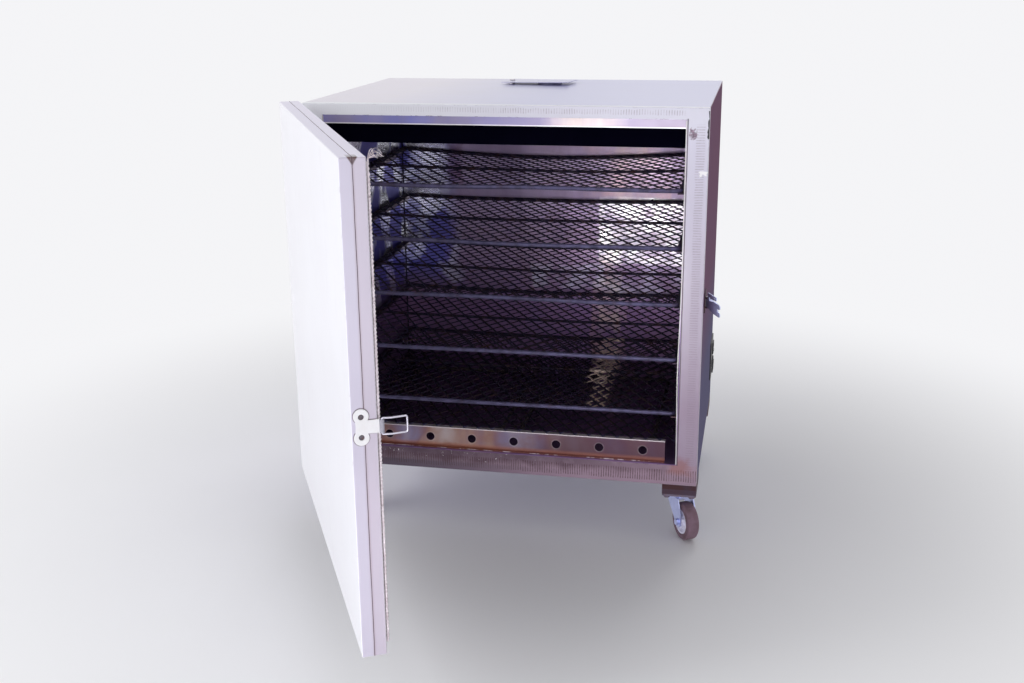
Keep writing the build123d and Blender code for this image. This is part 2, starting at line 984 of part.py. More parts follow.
def control_plate_piece():
    x_high = half_width + control_plate
    rim_high = x_high + control_rim
    z_middle = base + control_height
    plate = block(
        half_width,
        x_high,
        control_y - control_length / 2,
        control_y + control_length / 2,
        z_middle - control_tall / 2,
        z_middle + control_tall / 2,
    )
    plate = fillet(plate.edges().filter_by(Axis.X), control_corner)
    knob_z = base + knob_height
    switch_z = base + switch_height
    plate += rod((x_high, control_y, knob_z), (rim_high, control_y, knob_z), knob_rim)
    plate -= rod((x_high, control_y, knob_z), (rim_high + 1, control_y, knob_z), knob_radius + knob_gap)
    plate -= rod((half_width - 1, control_y, knob_z), (rim_high, control_y, knob_z), knob_shaft + knob_gap)
    length = switch_half_length
    tall = switch_half_tall
    edge = control_rim
    plate += block(
        x_high,
        rim_high,
        control_y - length - edge,
        control_y + length + edge,
        switch_z - tall - edge,
        switch_z + tall + edge,
    )
    plate -= block(
        half_width - 1, rim_high + 1, control_y - length, control_y + length, switch_z - tall, switch_z + tall
    )
    return plate


def thermostat_body():
    z = base + knob_height
    body = block(
        half_width - thermostat_deep,
        half_width,
        control_y - thermostat_half,
        control_y + thermostat_half,
        z - thermostat_half,
        z + thermostat_half,
    )
    start = (half_width - thermostat_deep / 2, control_y, z)
    return body - rod(start, (half_width + 1, control_y, z), knob_shaft + running_gap)


def thermostat_knob():
    z = base + knob_height
    face = half_width + control_plate + seat_gap
    knob = rod((face, control_y, z), (face + knob_thickness, control_y, z), knob_radius)
    knob = fillet(knob.edges().group_by(Axis.X)[-1], knob_edge)
    rim = face + knob_thickness
    knob -= block(
        rim - knob_mark_deep,
        rim + 1,
        control_y - knob_mark_half,
        control_y + knob_mark_half,
        z + knob_mark_start,
        z + knob_radius + 1,
    )
    shaft_end = (half_width - thermostat_deep / 2 + knob_gap, control_y, z)
    return knob + rod(shaft_end, (face, control_y, z), knob_shaft)


def switch_body():
    z = base + switch_height
    body = block(
        half_width - switch_deep,
        half_width,
        control_y - switch_half_length,
        control_y + switch_half_length,
        z - switch_half_tall,
        z + switch_half_tall,
    )
    wall = switch_wall
    return body - block(
        half_width - switch_hollow,
        half_width + 1,
        control_y - switch_half_length + wall,
        control_y + switch_half_length - wall,
        z - switch_half_tall + wall,
        z + switch_half_tall - wall,
    )


def switch_rocker():
    z = base + switch_height
    half_y = switch_half_length - switch_wall - rocker_gap
    half_z = switch_half_tall - switch_wall - rocker_gap
    x_low = half_width - rocker_root
    x_high = half_width + rocker_proud
    profile = [(x_low, -half_z), (x_high, -half_z), (x_high - rocker_dip, 0), (x_high, half_z), (x_low, half_z)]
    plane = Plane(origin=(0, control_y + half_y, z), x_dir=(1, 0, 0), z_dir=(0, -1, 0))
    rocker = extrude(plane * make_face(Polyline(*profile, close=True)), 2 * half_y, dir=(0, -1, 0))
    return rocker.rotate(Axis((half_width, 0, z), (0, 1, 0)), -rocker_tilt)


def sensor_bulb():
    x = chamber_half - bulb_inset
    y = bulb_y
    z = base + bulb_height
    bulb = rod((x, y, z), (x, y + bulb_length - bulb_end, z), bulb_radius)
    tail = FilletPolyline(
        (x, y + bulb_length - bulb_tail_start, z),
        (x, y + bulb_length, z),
        (opening_half, y + bulb_length, z),
        radius=bulb_tail_bend,
    )
    section = Plane(origin=tail @ 0, z_dir=tail % 0) * Circle(bulb_tail)
    bulb += sweep(section, path=tail)
    reach = bulb_radius + bulb_clip_wall
    clips = [
        block(x - reach, chamber_half, y + at, y + at + bulb_clip, z - reach, z + reach)
        - rod((x, y + at - 1, z), (x, y + at + bulb_clip + 1, z), bulb_radius + fixed_gap)
        for at in (bulb_clip_first, bulb_clip_second)
    ]
    return group([bulb] + clips)


# Terminals at the back


def terminal_cover():
    z_low = base + cover_low
    z_high = base + cover_high
    cover = block(-cover_half, cover_half, back, back + cover_deep, z_low, z_high)
    cover = fillet(cover.faces().sort_by(Axis.Y)[-1].edges(), cover_bend)
    cover -= block(
        -cover_half + cover_sheet,
        cover_half - cover_sheet,
        back - 1,
        back + cover_deep - cover_sheet,
        z_low + cover_sheet,
        z_high - cover_sheet,
    )
    y = back + cover_deep / 2
    return cover - upright(gland_x, y, z_low - 1, z_low + cover_sheet + 1, gland_bore + gland_stem_wall)


def terminal_block():
    z_low = element_z - terminal_low
    z_high = element_z + terminal_high
    body = block(-terminal_half, terminal_half, back, back + terminal_deep, z_low, z_high)
    for hole in element_holes(back - 1, back + terminal_deep + 1, element_radius + element_hole_gap):
        body -= hole
    return body


def cable_gland():
    y = back + cover_deep / 2
    z = base + cover_low
    low = z - gland_length
    inside = z + cover_sheet
    gland = upright(gland_x, y, low + gland_neck_step, z, gland_radius - gland_neck_step)
    gland += hex_head(gland_x, y, z - gland_nut_tall, gland_nut_tall, gland_radius + gland_nut_step)
    gland += upright(gland_x, y, low, low + gland_cap_tall, gland_radius)
    gland += upright(gland_x, y, z, inside, gland_bore + gland_stem_wall - fixed_gap)
    return gland - upright(gland_x, y, low - 1, inside + 1, gland_bore)


# Casters


def king_pin_place(place):
    side_x, side_y, angle = caster_places[place]
    x = side_x * (half_width - bracket_width / 2)
    y = front + caster_front if side_y < 0 else back - caster_front
    return x, y, angle


def caster_brackets():
    pieces = []
    for place in caster_places:
        x, y, angle = king_pin_place(place)
        half_x = bracket_width / 2
        half_y = bracket_depth / 2
        outer = block(x - half_x, x + half_x, y - half_y, y + half_y, caster_height, base)
        half_x -= bracket_wall
        half_y -= bracket_wall
        hollow = block(
            x - half_x, x + half_x, y - half_y, y + half_y, caster_height + bracket_wall, base + 1
        )
        pieces.append(outer - hollow)
    return group(pieces)


def caster_plates():
    pieces = []
    low = caster_height - caster_plate
    for place in caster_places:
        x, y, angle = king_pin_place(place)
        half_x = bracket_width / 2
        half_y = caster_plate_depth / 2
        plate = block(x - half_x, x + half_x, y - half_y, y + half_y, low, caster_height)
        plate = fillet(plate.edges().filter_by(Axis.Z), caster_plate_corner)
        plate += upright(x, y, king_head_low, low, king_pin)
        plate += upright(x, y, king_head_low, king_head_high, king_head)
        pieces.append(plate)
        for dx in (-caster_bolt_x, caster_bolt_x):
            for dy in (-caster_bolt_y, caster_bolt_y):
                z = low - caster_bolt_tall
                pieces.append(hex_head(x + dx, y + dy, z, caster_bolt_tall, caster_bolt_head))
    return group(pieces)


def caster_turn(shape, place):
    # a fork and wheel are drawn with the king pin on Z and the wheel trailing along +X
    x, y, angle = king_pin_place(place)
    return Pos(x, y, 0) * shape.rotate(Axis.Z, angle)


def fork(place):
    outer = fork_inner + fork_sheet
    low = fork_top - fork_bridge
    bridge = block(-fork_bridge_front, fork_bridge_back, -outer, outer, low, fork_top)
    crown = upright(0, 0, low, crown_top, crown_radius)
    crown = fillet(crown.edges().sort_by(Axis.Z)[-1], crown_bend)
    body = crown + bridge
    eye_low = wheel_radius - cheek_eye
    profile = [
        (-cheek_front, fork_top),
        (cheek_back, fork_top),
        (caster_trail + cheek_eye, cheek_heel_z),
        (caster_trail + cheek_eye, wheel_radius - cheek_eye / 2),
        (caster_trail + cheek_eye / 4, eye_low),
        (caster_trail - cheek_eye, wheel_radius - cheek_eye / 2),
        (cheek_throat_x, cheek_throat_z),
        (-cheek_waist_x, cheek_waist_z),
    ]
    for side in (-1, 1):
        plane = Plane(origin=(0, side * fork_inner, 0), x_dir=(1, 0, 0), z_dir=(0, -1, 0))
        face = plane * make_face(Polyline(*profile, close=True))
        cheek = extrude(face, fork_sheet, dir=(0, side, 0))
        lower = [e for e in cheek.edges().filter_by(Axis.Y) if e.center().Z < fork_top - 1]
        cheek = fillet(lower, cheek_bend)
        body += cheek
    body -= upright(0, 0, king_head_low - 1, crown_top + 1, king_pin + running_gap)
    z = wheel_radius
    body -= rod((caster_trail, -outer - 1, z), (caster_trail, outer + 1, z), axle_radius + fixed_gap)
    axle = rod((caster_trail, -outer, z), (caster_trail, outer, z), axle_radius)
    for side in (-1, 1):
        start = side * outer
        end = side * (outer + axle_head_thick)
        plane = Plane(origin=(caster_trail, min(start, end), z), x_dir=(1, 0, 0), z_dir=(0, 1, 0))
        axle += extrude(plane * RegularPolygon(axle_head, 6), axle_head_thick, dir=(0, 1, 0))
    return caster_turn(group([body, axle]), place)


def wheel(place):
    half = wheel_width / 2

    def across(radius, half_length):
        start = (caster_trail, -half_length, wheel_radius)
        return rod(start, (caster_trail, half_length, wheel_radius), radius)

    tyre = across(wheel_radius, half)
    tyre = fillet(tyre.edges().filter_by(GeomType.CIRCLE), tyre_shoulder)
    tyre -= across(tyre_inner, half + 1)
    hub = across(tyre_inner - fixed_gap, half - hub_inset)
    for side in (-1, 1):
        start = (caster_trail, side * (half - hub_inset - hub_dish), wheel_radius)
        end = (caster_trail, side * half, wheel_radius)
        dish = rod(start, end, tyre_inner - hub_rim) - rod(start, end, wheel_boss + hub_rim)
        hub -= dish
    hub += across(wheel_boss, wheel_boss_width / 2)
    hub -= across(axle_radius + running_gap, wheel_boss_width)
    return caster_turn(group([hub, tyre]), place)


pieces = {
    "front_frame": front_frame(),
    "casing_top": casing_top(),
    "casing_left_side": casing_side(-1),
    "casing_right_side": casing_side(1),
    "casing_back": casing_back(),
    "casing_bottom": casing_bottom(),
    "casing_screws": casing_screws(),
    "header_strip": header_strip(),
    "chamber_floor": liner_floor(),
    "chamber_ceiling": liner_ceiling(),
    "chamber_left_wall": liner_wall(-1),
    "chamber_right_wall": liner_wall(1),
    "chamber_back_wall": liner_back(),
    "cabinet_insulation": insulation(),
    "ceiling_baffle": ceiling_baffle(),
    "shelf_runners_left": shelf_runners(-1),
    "shelf_runners_right": shelf_runners(1),
    "heater_guard_strip": heater_guard_strip(),
    "heater_guard_net": heater_guard_net(),
    "heating_elements": heating_elements(),
    "terminal_block": terminal_block(),
    "terminal_cover": terminal_cover(),
    "cable_gland": cable_gland(),
    "control_plate": control_plate_piece(),
    "thermostat_body": thermostat_body(),
    "sensor_bulb": sensor_bulb(),
    "switch_body": switch_body(),
    "hinge_leaves_cabinet": hinge_leaves(True),
    "hinge_pins": hinge_pins(),
    "lever_bracket": lever_bracket(),
    "vent_collar": vent_collar(),
    "vent_pivot": vent_pivot(),
    "caster_brackets": caster_brackets(),
    "caster_plates": caster_plates(),
    "door_outer_pan": swing(door_outer_pan()),
    "door_inner_pan": swing(door_inner_pan()),
    "door_insulation": swing(door_insulation()),
    "door_gasket": swing(door_gasket()),
    "hinge_leaves_door": swing(hinge_leaves(False)),
    "latch_plate": swing(latch_plate_piece()),
    "door_screws": swing(door_screws()),
    "latch_bail": swing(latch_bail()),
    "latch_lever": latch_lever(),
    "vent_plate": vent_plate(),
    "thermostat_knob": thermostat_knob(),
    "switch_rocker": switch_rocker(),
}
for number, level in enumerate(reversed(shelf_levels()), start=1):
    pieces[f"shelf_{number}"] = shelf(level)
for place in caster_places:
    pieces[f"fork_{place}"] = fork(place)
    pieces[f"wheel_{place}"] = wheel(place)

os.makedirs("parts", exist_ok=True)
for name, piece in pieces.items():
    export_step(piece, f"parts/{name}.step")
print(len(pieces), "nodes")
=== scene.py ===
# A worn drying oven on casters, dressed around its fixed frame.
import json
import math
import random
import bmesh
import bpy
from mathutils import Matrix, Vector


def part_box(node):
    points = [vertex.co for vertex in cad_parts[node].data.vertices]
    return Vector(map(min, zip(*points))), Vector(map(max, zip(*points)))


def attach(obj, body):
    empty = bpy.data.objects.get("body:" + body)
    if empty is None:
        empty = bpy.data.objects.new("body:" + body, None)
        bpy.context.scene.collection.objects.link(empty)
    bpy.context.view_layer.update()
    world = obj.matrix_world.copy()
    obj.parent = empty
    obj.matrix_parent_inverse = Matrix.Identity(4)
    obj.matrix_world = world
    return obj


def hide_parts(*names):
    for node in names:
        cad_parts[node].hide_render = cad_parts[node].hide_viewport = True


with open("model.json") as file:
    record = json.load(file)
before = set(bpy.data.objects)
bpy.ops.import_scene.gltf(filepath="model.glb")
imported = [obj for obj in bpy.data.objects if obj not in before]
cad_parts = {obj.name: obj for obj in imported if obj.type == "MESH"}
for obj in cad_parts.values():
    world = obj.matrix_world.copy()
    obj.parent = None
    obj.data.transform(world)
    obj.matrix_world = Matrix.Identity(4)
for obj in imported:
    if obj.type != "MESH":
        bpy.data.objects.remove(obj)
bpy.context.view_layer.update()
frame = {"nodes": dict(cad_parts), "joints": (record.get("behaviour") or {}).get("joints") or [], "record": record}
nodes = frame["nodes"]
print("frame loaded:", len(nodes), "nodes")

# places that many pieces share, all read from the frame
frontLow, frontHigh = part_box("front_frame")
frontY = frontLow.y
baseZ = frontLow.z
topZ = frontHigh.z
halfWidth = frontHigh.x
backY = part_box("casing_back")[1].y
wallLow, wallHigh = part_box("chamber_back_wall")
chamberBackY = wallLow.y
openingHalf = wallHigh.x
openingLowZ = wallLow.z
openingHighZ = wallHigh.z
joints = {joint["name"]: joint for joint in frame["joints"]}
doorPin = Vector((*joints["door_hinge"]["pos_m"][:2], 0))
doorAngle = math.radians(joints["door_hinge"]["range_deg"][0])
doorTurn = Matrix.Translation(doorPin) @ Matrix.Rotation(doorAngle, 4, "Z") @ Matrix.Translation(-doorPin)
latchZ = joints["bail_hinge"]["pos_m"][2]
casterNames = ("front_right", "front_left", "back_right", "back_left")

# the closed door, from which its pieces are turned to where it stands
door = {
    "innerY": frontY - 0.006,
    "seamY": frontY - 0.0245,
    "lowZ": baseZ - 0.005,
    "highZ": topZ + 0.005,
}


# node helpers

def addNode(tree, kind, sockets=None, **settings):
    node = tree.nodes.new("ShaderNode" + kind)
    for key, value in settings.items():
        setattr(node, key, value)
    for key, value in (sockets or {}).items():
        fillSocket(tree, node.inputs[key], value)
    return node


def fillSocket(tree, socket, value):
    if isinstance(value, bpy.types.NodeSocket):
        tree.links.new(value, socket)
    elif isinstance(value, tuple) and len(value) == 3 and socket.type == "RGBA":
        socket.default_value = (*value, 1.0)
    else:
        socket.default_value = value


def maths(tree, operation, *values, clamp=False):
    node = addNode(tree, "Math", operation=operation, use_clamp=clamp)
    for socket, value in zip(node.inputs, values):
        fillSocket(tree, socket, value)
    return node.outputs[0]


def plus(tree, first, second):
    return maths(tree, "ADD", first, second)


def minus(tree, first, second):
    return maths(tree, "SUBTRACT", first, second)


def times(tree, first, second, clamp=False):
    return maths(tree, "MULTIPLY", first, second, clamp=clamp)


def vectorMaths(tree, operation, *values):
    node = addNode(tree, "VectorMath", operation=operation)
    for socket, value in zip(node.inputs, values):
        fillSocket(tree, socket, value)
    return node.outputs[0]


def mixColor(tree, factor, first, second):
    return addNode(tree, "Mix", {0: factor, 6: first, 7: second}, data_type="RGBA").outputs[2]


def mixValue(tree, factor, first, second):
    return addNode(tree, "Mix", {0: factor, 2: first, 3: second}, data_type="FLOAT").outputs[0]


def coat(tree, color, mask, tone, share=1.0):
    # lays a tone over a colour where the mask is, as strongly as its share says
    if share != 1.0:
        mask = times(tree, mask, share)
    return mixColor(tree, mask, color, tone)


def ramp(tree, factor, low, high, first=0.0, last=1.0):
    sockets = {"Value": factor, "From Min": low, "From Max": high, "To Min": first, "To Max": last}
    return addNode(tree, "MapRange", sockets, clamp=True).outputs[0]


def fade(tree, factor, low, high):
    return ramp(tree, factor, low, high, 1.0, 0.0)


def strongest(tree, *masks):
    result = masks[0]
    for mask in masks[1:]:
        result = maths(tree, "MAXIMUM", result, mask)
    return result


def objectPlace(tree):
    return addNode(tree, "TexCoord").outputs["Object"]


def split(tree, vector):
    return addNode(tree, "SeparateXYZ", {0: vector}).outputs


def distance(tree, vector):
    return addNode(tree, "VectorMath", {0: vector}, operation="LENGTH").outputs["Value"]


# shared effects, each a node group

def startGroup(name, inputs, outputs):
    tree = bpy.data.node_groups.new(name, "ShaderNodeTree")
    for title, kind, value in inputs:
        socket = tree.interface.new_socket(title, in_out="INPUT", socket_type="NodeSocket" + kind)
        socket.default_value = value
    for title, kind in outputs:
        tree.interface.new_socket(title, in_out="OUTPUT", socket_type="NodeSocket" + kind)
    start = tree.nodes.new("NodeGroupInput")
    end = tree.nodes.new("NodeGroupOutput")
    return tree, start.outputs, end.inputs


def blotchGroup():
    inputs = [("Scale", "Float", 8.0), ("Cover", "Float", 0.5), ("Softness", "Float", 0.1),
              ("Stretch", "Vector", (1, 1, 1)), ("Seed", "Float", 0.0), ("Fineness", "Float", 0.6)]
    tree, given, out = startGroup("blotches", inputs, [("Mask", "Float")])
    place = objectPlace(tree)
    place = vectorMaths(tree, "MULTIPLY", place, given["Stretch"])
    noise = addNode(tree, "TexNoise", {"Vector": place, "W": given["Seed"], "Scale": given["Scale"],
                                       "Detail": 6.0, "Roughness": given["Fineness"]}, noise_dimensions="4D")
    edge = minus(tree, 1.0, given["Cover"])
    low = minus(tree, edge, given["Softness"])
    high = plus(tree, edge, given["Softness"])
    fillSocket(tree, out["Mask"], ramp(tree, noise.outputs[0], low, high))
    return tree


def boxMaskGroup():
    inputs = [("Low", "Vector", (0, 0, 0)), ("High", "Vector", (1, 1, 1)), ("Softness", "Float", 0.002),
              ("Ragged", "Float", 0.004), ("Scale", "Float", 60.0)]
    tree, given, out = startGroup("boxMask", inputs, [("Mask", "Float")])
    place = objectPlace(tree)
    noise = addNode(tree, "TexNoise", {"Vector": place, "Scale": given["Scale"], "Detail": 4.0})
    shift = vectorMaths(tree, "SUBTRACT", noise.outputs["Color"], (0.5, 0.5, 0.5))
    scaled = addNode(tree, "VectorMath", {0: shift, "Scale": given["Ragged"]}, operation="SCALE")
    place = vectorMaths(tree, "ADD", place, scaled.outputs[0])
    above = vectorMaths(tree, "SUBTRACT", place, given["Low"])
    below = vectorMaths(tree, "SUBTRACT", given["High"], place)
    least = vectorMaths(tree, "MINIMUM", above, below)
    parts = split(tree, least)
    least = maths(tree, "MINIMUM", maths(tree, "MINIMUM", parts[0], parts[1]), parts[2])
    fillSocket(tree, out["Mask"], maths(tree, "DIVIDE", least, given["Softness"], clamp=True))
    return tree


def edgeWearGroup():
    inputs = [("Radius", "Float", 0.0015), ("Amount", "Float", 4.0), ("Scale", "Float", 90.0),
              ("Cover", "Float", 0.5)]
    tree, given, out = startGroup("edgeWear", inputs, [("Mask", "Float")])
    rounded = addNode(tree, "Bevel", {"Radius": given["Radius"]}, samples=4)
    flat = addNode(tree, "NewGeometry").outputs["Normal"]
    turn = addNode(tree, "VectorMath", {0: rounded.outputs[0], 1: flat}, operation="DOT_PRODUCT")
    edge = times(tree, minus(tree, 1.0, turn.outputs["Value"]), given["Amount"])
    place = objectPlace(tree)
    noise = addNode(tree, "TexNoise", {"Vector": place, "Scale": given["Scale"], "Detail": 5.0})
    high = plus(tree, given["Cover"], 0.08)
    kept = ramp(tree, noise.outputs[0], given["Cover"], high)
    fillSocket(tree, out["Mask"], times(tree, edge, kept, clamp=True))
    return tree


def heatTintGroup():
    tree, given, out = startGroup("heatTint", [("Level", "Float", 0.5)], [("Color", "Color")])
    colors = addNode(tree, "ValToRGB", {"Fac": given["Level"]})
    stops = [(0.0, (0.62, 0.60, 0.66)), (0.30, (0.50, 0.40, 0.36)), (0.48, (0.36, 0.20, 0.13)),
             (0.62, (0.20, 0.10, 0.15)), (0.78, (0.20, 0.19, 0.36)), (1.0, (0.42, 0.40, 0.50))]
    elements = colors.color_ramp.elements
    elements[0].color = (*stops[0][1], 1)
    elements[1].color = (*stops[-1][1], 1)
    for position, color in stops[1:-1]:
        elements.new(position).color = (*color, 1)
    fillSocket(tree, out["Color"], colors.outputs[0])
    return tree


def grainGroup():
    inputs = [("Stretch", "Vector", (1, 1, 1)), ("Scale", "Float", 200.0), ("Detail", "Float", 3.0)]
    tree, given, out = startGroup("grain", inputs, [("Height", "Float")])
    place = objectPlace(tree)
    place = vectorMaths(tree, "MULTIPLY", place, given["Stretch"])
    noise = addNode(tree, "TexNoise", {"Vector": place, "Scale": given["Scale"], "Detail": given["Detail"]})
    fillSocket(tree, out["Height"], noise.outputs[0])
    return tree


def dustGroup():
    inputs = [("Amount", "Float", 0.4), ("Scale", "Float", 30.0)]
    tree, given, out = startGroup("dust", inputs, [("Mask", "Float")])
    normal = addNode(tree, "NewGeometry").outputs["Normal"]
    upward = ramp(tree, split(tree, normal)[2], 0.3, 1.0)
    place = objectPlace(tree)
    noise = addNode(tree, "TexNoise", {"Vector": place, "Scale": given["Scale"], "Detail": 6.0})
    spread = ramp(tree, noise.outputs[0], 0.35, 0.7)
    mask = times(tree, times(tree, upward, spread), given["Amount"])
    fillSocket(tree, out["Mask"], mask)
    return tree


effects = {
    "blotches": blotchGroup(),
    "boxMask": boxMaskGroup(),
    "edgeWear": edgeWearGroup(),
    "heatTint": heatTintGroup(),
    "grain": grainGroup(),
    "dust": dustGroup(),
}


def effect(tree, title, **values):
    node = addNode(tree, "Group", node_tree=effects[title])
    for key, value in values.items():
        fillSocket(tree, node.inputs[key], value)
    return node.outputs[0]


def closedDoorPlace(tree):
    # object coordinates turned back to where the door shuts
    moved = tuple(doorTurn.inverted() @ Vector((0, 0, 0)))
    turned = {"Vector": objectPlace(tree), "Location": moved, "Rotation": (0, 0, -doorAngle)}
    return split(tree, addNode(tree, "Mapping", turned).outputs[0])


def framePlace(tree):
    return split(tree, objectPlace(tree))


def blotches(tree, share=1.0, low=0.0, **values):
    # the blotches effect, its mask drawn from 0..1 into low..share
    mask = effect(tree, "blotches", **values)
    if low:
        return ramp(tree, mask, 0.0, 1.0, low, share)
    return mask if share == 1.0 else times(tree, mask, share)


def startMaterial(name):
    material = bpy.data.materials.new(name)
    material.use_nodes = True
    return material, material.node_tree


def finishMaterial(material, height=None, strength=0.3, depth=0.001, **sockets):
    tree = material.node_tree
    shader = tree.nodes["Principled BSDF"]
    for key, value in sockets.items():
        fillSocket(tree, shader.inputs[key.replace("_", " ")], value)
    if height is not None:
        bump = addNode(tree, "Bump", {"Height": height, "Strength": strength, "Distance": depth})
        tree.links.new(bump.outputs[0], shader.inputs["Normal"])
    return material


print("shader groups:", len(effects))


# paint of the cabinet and the door

paint = {
    "fresh": (0.75, 0.73, 0.86),
    "soiled": (0.60, 0.54, 0.58),
    "rust": (0.16, 0.055, 0.030),
    "bare": (0.30, 0.24, 0.27),
    "smudge": (0.46, 0.40, 0.42),
    "dust": (0.66, 0.62, 0.60),
    # painted light and painted shade on the top sheet
    "warmLitTop": (0.87, 0.79, 0.88),
    "coolShadedTop": (0.48, 0.48, 0.76),
    # painted shade and a painted brown reflection for the right side
    "brownSideShade": (0.20, 0.085, 0.145),
    "shade": (0.080, 0.070, 0.165),
    "peelScale": 420.0,
    "roughness": 0.34,
    "wornRoughness": 0.62,
}


def paintBase(tree, fresh, seed=0.0):
    cloud = effect(tree, "blotches", Scale=5.0, Cover=0.5, Softness=0.22, Seed=seed)
    color = coat(tree, fresh, cloud, paint["soiled"], 0.16)
    smudge = effect(tree, "blotches", Scale=26.0, Cover=0.33, Softness=0.1, Stretch=(1, 1, 0.4),
                    Seed=seed + 3)
    color = coat(tree, color, smudge, paint["smudge"], 0.12)
    specks = effect(tree, "blotches", Scale=170.0, Cover=0.28, Softness=0.015, Seed=seed + 7)
    return coat(tree, color, specks, paint["bare"], 0.35)


def paintRelief(tree):
    peel = effect(tree, "grain", Scale=paint["peelScale"])
    wave = effect(tree, "grain", Scale=34.0)
    return plus(tree, times(tree, peel, 0.25), wave)


def sheetPaint(name, wearRadius, **gloss):
    material, tree = startMaterial(name)
    color = paintBase(tree, paint["fresh"], seed=1.0)
    worn = effect(tree, "edgeWear", Radius=wearRadius, Amount=5.0, Scale=70.0, Cover=0.58)
    color = coat(tree, color, worn, paint["bare"])
    dust = effect(tree, "dust", Amount=0.25, Scale=14.0)
    color = coat(tree, color, dust, paint["dust"])
    place = framePlace(tree)
    # painted light on the top sheet: a warm lit tone towards the left, a darker and bluer painted shade towards
    # the right
    onTop = ramp(tree, place[2], topZ - 0.001, topZ - 0.0004)
    warmLitLeft = times(tree, onTop, ramp(tree, place[0], -0.30, 0.0, 0.6, 0.0))
    color = coat(tree, color, warmLitLeft, paint["warmLitTop"])
    coolShadedRight = times(tree, onTop, ramp(tree, place[0], -0.24, 0.06, 0.0, 0.80))
    color = coat(tree, color, coolShadedRight, paint["coolShadedTop"])
    # painted shade on the right side, with a painted brown reflection over its upper part
    rightSide = ramp(tree, place[0], halfWidth - 0.001, halfWidth - 0.0004)
    cloudy = blotches(tree, 0.92, 0.72, Scale=4.0, Cover=0.55, Softness=0.3, Seed=9.0)
    brown = times(tree, ramp(tree, place[2], 0.30, 0.48), cloudy)
    color = coat(tree, color, rightSide, paint["shade"], 0.92)
    color = coat(tree, color, times(tree, rightSide, brown), paint["brownSideShade"])
    rough = mixValue(tree, worn, paint["roughness"], paint["wornRoughness"])
    plain = {"Roughness": rough, "Coat_Weight": 0.25, "Coat_Roughness": 0.12}
    return finishMaterial(material, paintRelief(tree), 0.16, 0.0004, Base_Color=color, **(gloss or plain))


# the imprint that the door's gasket left on the front frame, in bands across which strokes run

imprint = {
    "pitch": 0.0047,
    "side": (halfWidth - 0.015, 0.0085),  # middle and half width of each band
    "upper": (topZ - 0.009, 0.0055),
    "lower": (baseZ + 0.019, 0.0125),
}


def imprintMask(tree, along, across, band, seed, cover=0.56):
    center, half = band
    ragged = times(tree, effect(tree, "grain", Scale=90.0), 0.006)
    offCenter = plus(tree, maths(tree, "ABSOLUTE", minus(tree, across, center)), ragged)
    inside = fade(tree, offCenter, half + 0.001, half + 0.003)
    wander = times(tree, effect(tree, "grain", Scale=12.0), 9.0)
    turns = plus(tree, times(tree, along, 2 * math.pi / imprint["pitch"]), wander)
    strokes = ramp(tree, maths(tree, "SINE", turns), -0.1, 0.6)
    broken = effect(tree, "blotches", Scale=42.0, Cover=cover, Softness=0.12, Seed=seed)
    uneven = blotches(tree, 1.0, 0.25, Scale=210.0, Cover=0.55, Softness=0.22, Seed=seed + 0.5)
    return times(tree, times(tree, inside, times(tree, strokes, uneven)), broken)


# marks on the front frame, each a ragged box with its own tone

frameMarks = {
    "sill": {"Low": (-0.40, -1, baseZ + 0.014), "High": (0.33, 1, openingLowZ + 0.012),
             "Softness": 0.012, "Ragged": 0.03, "Scale": 22.0},
    "rustCorner": {"Low": (0.318, -1, baseZ + 0.018), "High": (0.372, 1, baseZ + 0.060),
                   "Softness": 0.014, "Ragged": 0.03, "Scale": 34.0},
    "scorch": {"Low": (0.344, -1, topZ - 0.055), "High": (0.359, 1, topZ - 0.036),
               "Softness": 0.004, "Ragged": 0.020, "Scale": 150.0},
    "chip": {"Low": (0.363, -1, topZ - 0.122), "High": (0.379, 1, topZ - 0.111),
             "Softness": 0.0015, "Ragged": 0.016, "Scale": 120.0},
    # painted shade in the gap beside the jamb lip
    "jambGapShade": {"Low": (openingHalf - 0.0005, -1, openingLowZ),
                "High": (openingHalf + 0.0026, frontY + 0.03, openingHighZ + 0.002),
                "Softness": 0.0008, "Ragged": 0.0012, "Scale": 30.0},
    "nick": {"Low": (0.3772, -1, topZ - 0.056), "High": (0.40, frontY + 0.0035, topZ - 0.004),
             "Softness": 0.0012, "Ragged": 0.008, "Scale": 90.0},
}
frameTones = {
    # painted light on the top rail
    "litTopRail": (0.93, 0.95, 1.0),
    "pinkLow": (0.35, 0.25, 0.35),
    "imprint": (0.30, 0.23, 0.28),
    "lowerImprint": (0.065, 0.018, 0.022),
    "rail": (0.46, 0.24, 0.26),
    "leftRail": (0.13, 0.080, 0.125),
    "underRail": (0.060, 0.038, 0.075),
    "sill": (0.085, 0.040, 0.065),
    "crumbs": (0.92, 0.86, 0.86),
    "rustCorner": (0.32, 0.11, 0.095),
    "scorch": (0.34, 0.17, 0.26),
    "scorchSpots": (0.09, 0.035, 0.075),
    "chip": (0.94, 0.92, 0.94),
    # painted shade in the gap beside the jamb lip
    "jambGapShade": (0.05, 0.03, 0.045),
    "worn": (0.085, 0.06, 0.06),
    "nick": (0.010, 0.003, 0.010),
}


def frameMark(tree, name):
    return effect(tree, "boxMask", **frameMarks[name])


def greyImprint(tree, width, height):
    # the bands at the top and at both sides; the dark band below is laid on by itself
    upper = imprintMask(tree, width, height, imprint["upper"], 11.0)
    inFrom = times(tree, ramp(tree, width, -0.24, 0.02, 0.1, 1.0), fade(tree, width, 0.33, 0.34))
    side, half = imprint["side"]
    right = imprintMask(tree, height, width, (side, half), 13.0, 0.64)
    left = imprintMask(tree, height, width, (-side, half), 14.0)
    belowTop = fade(tree, height, topZ - 0.036, topZ - 0.028)
    return strongest(tree, times(tree, upper, inFrom), times(tree, strongest(tree, right, left), belowTop))
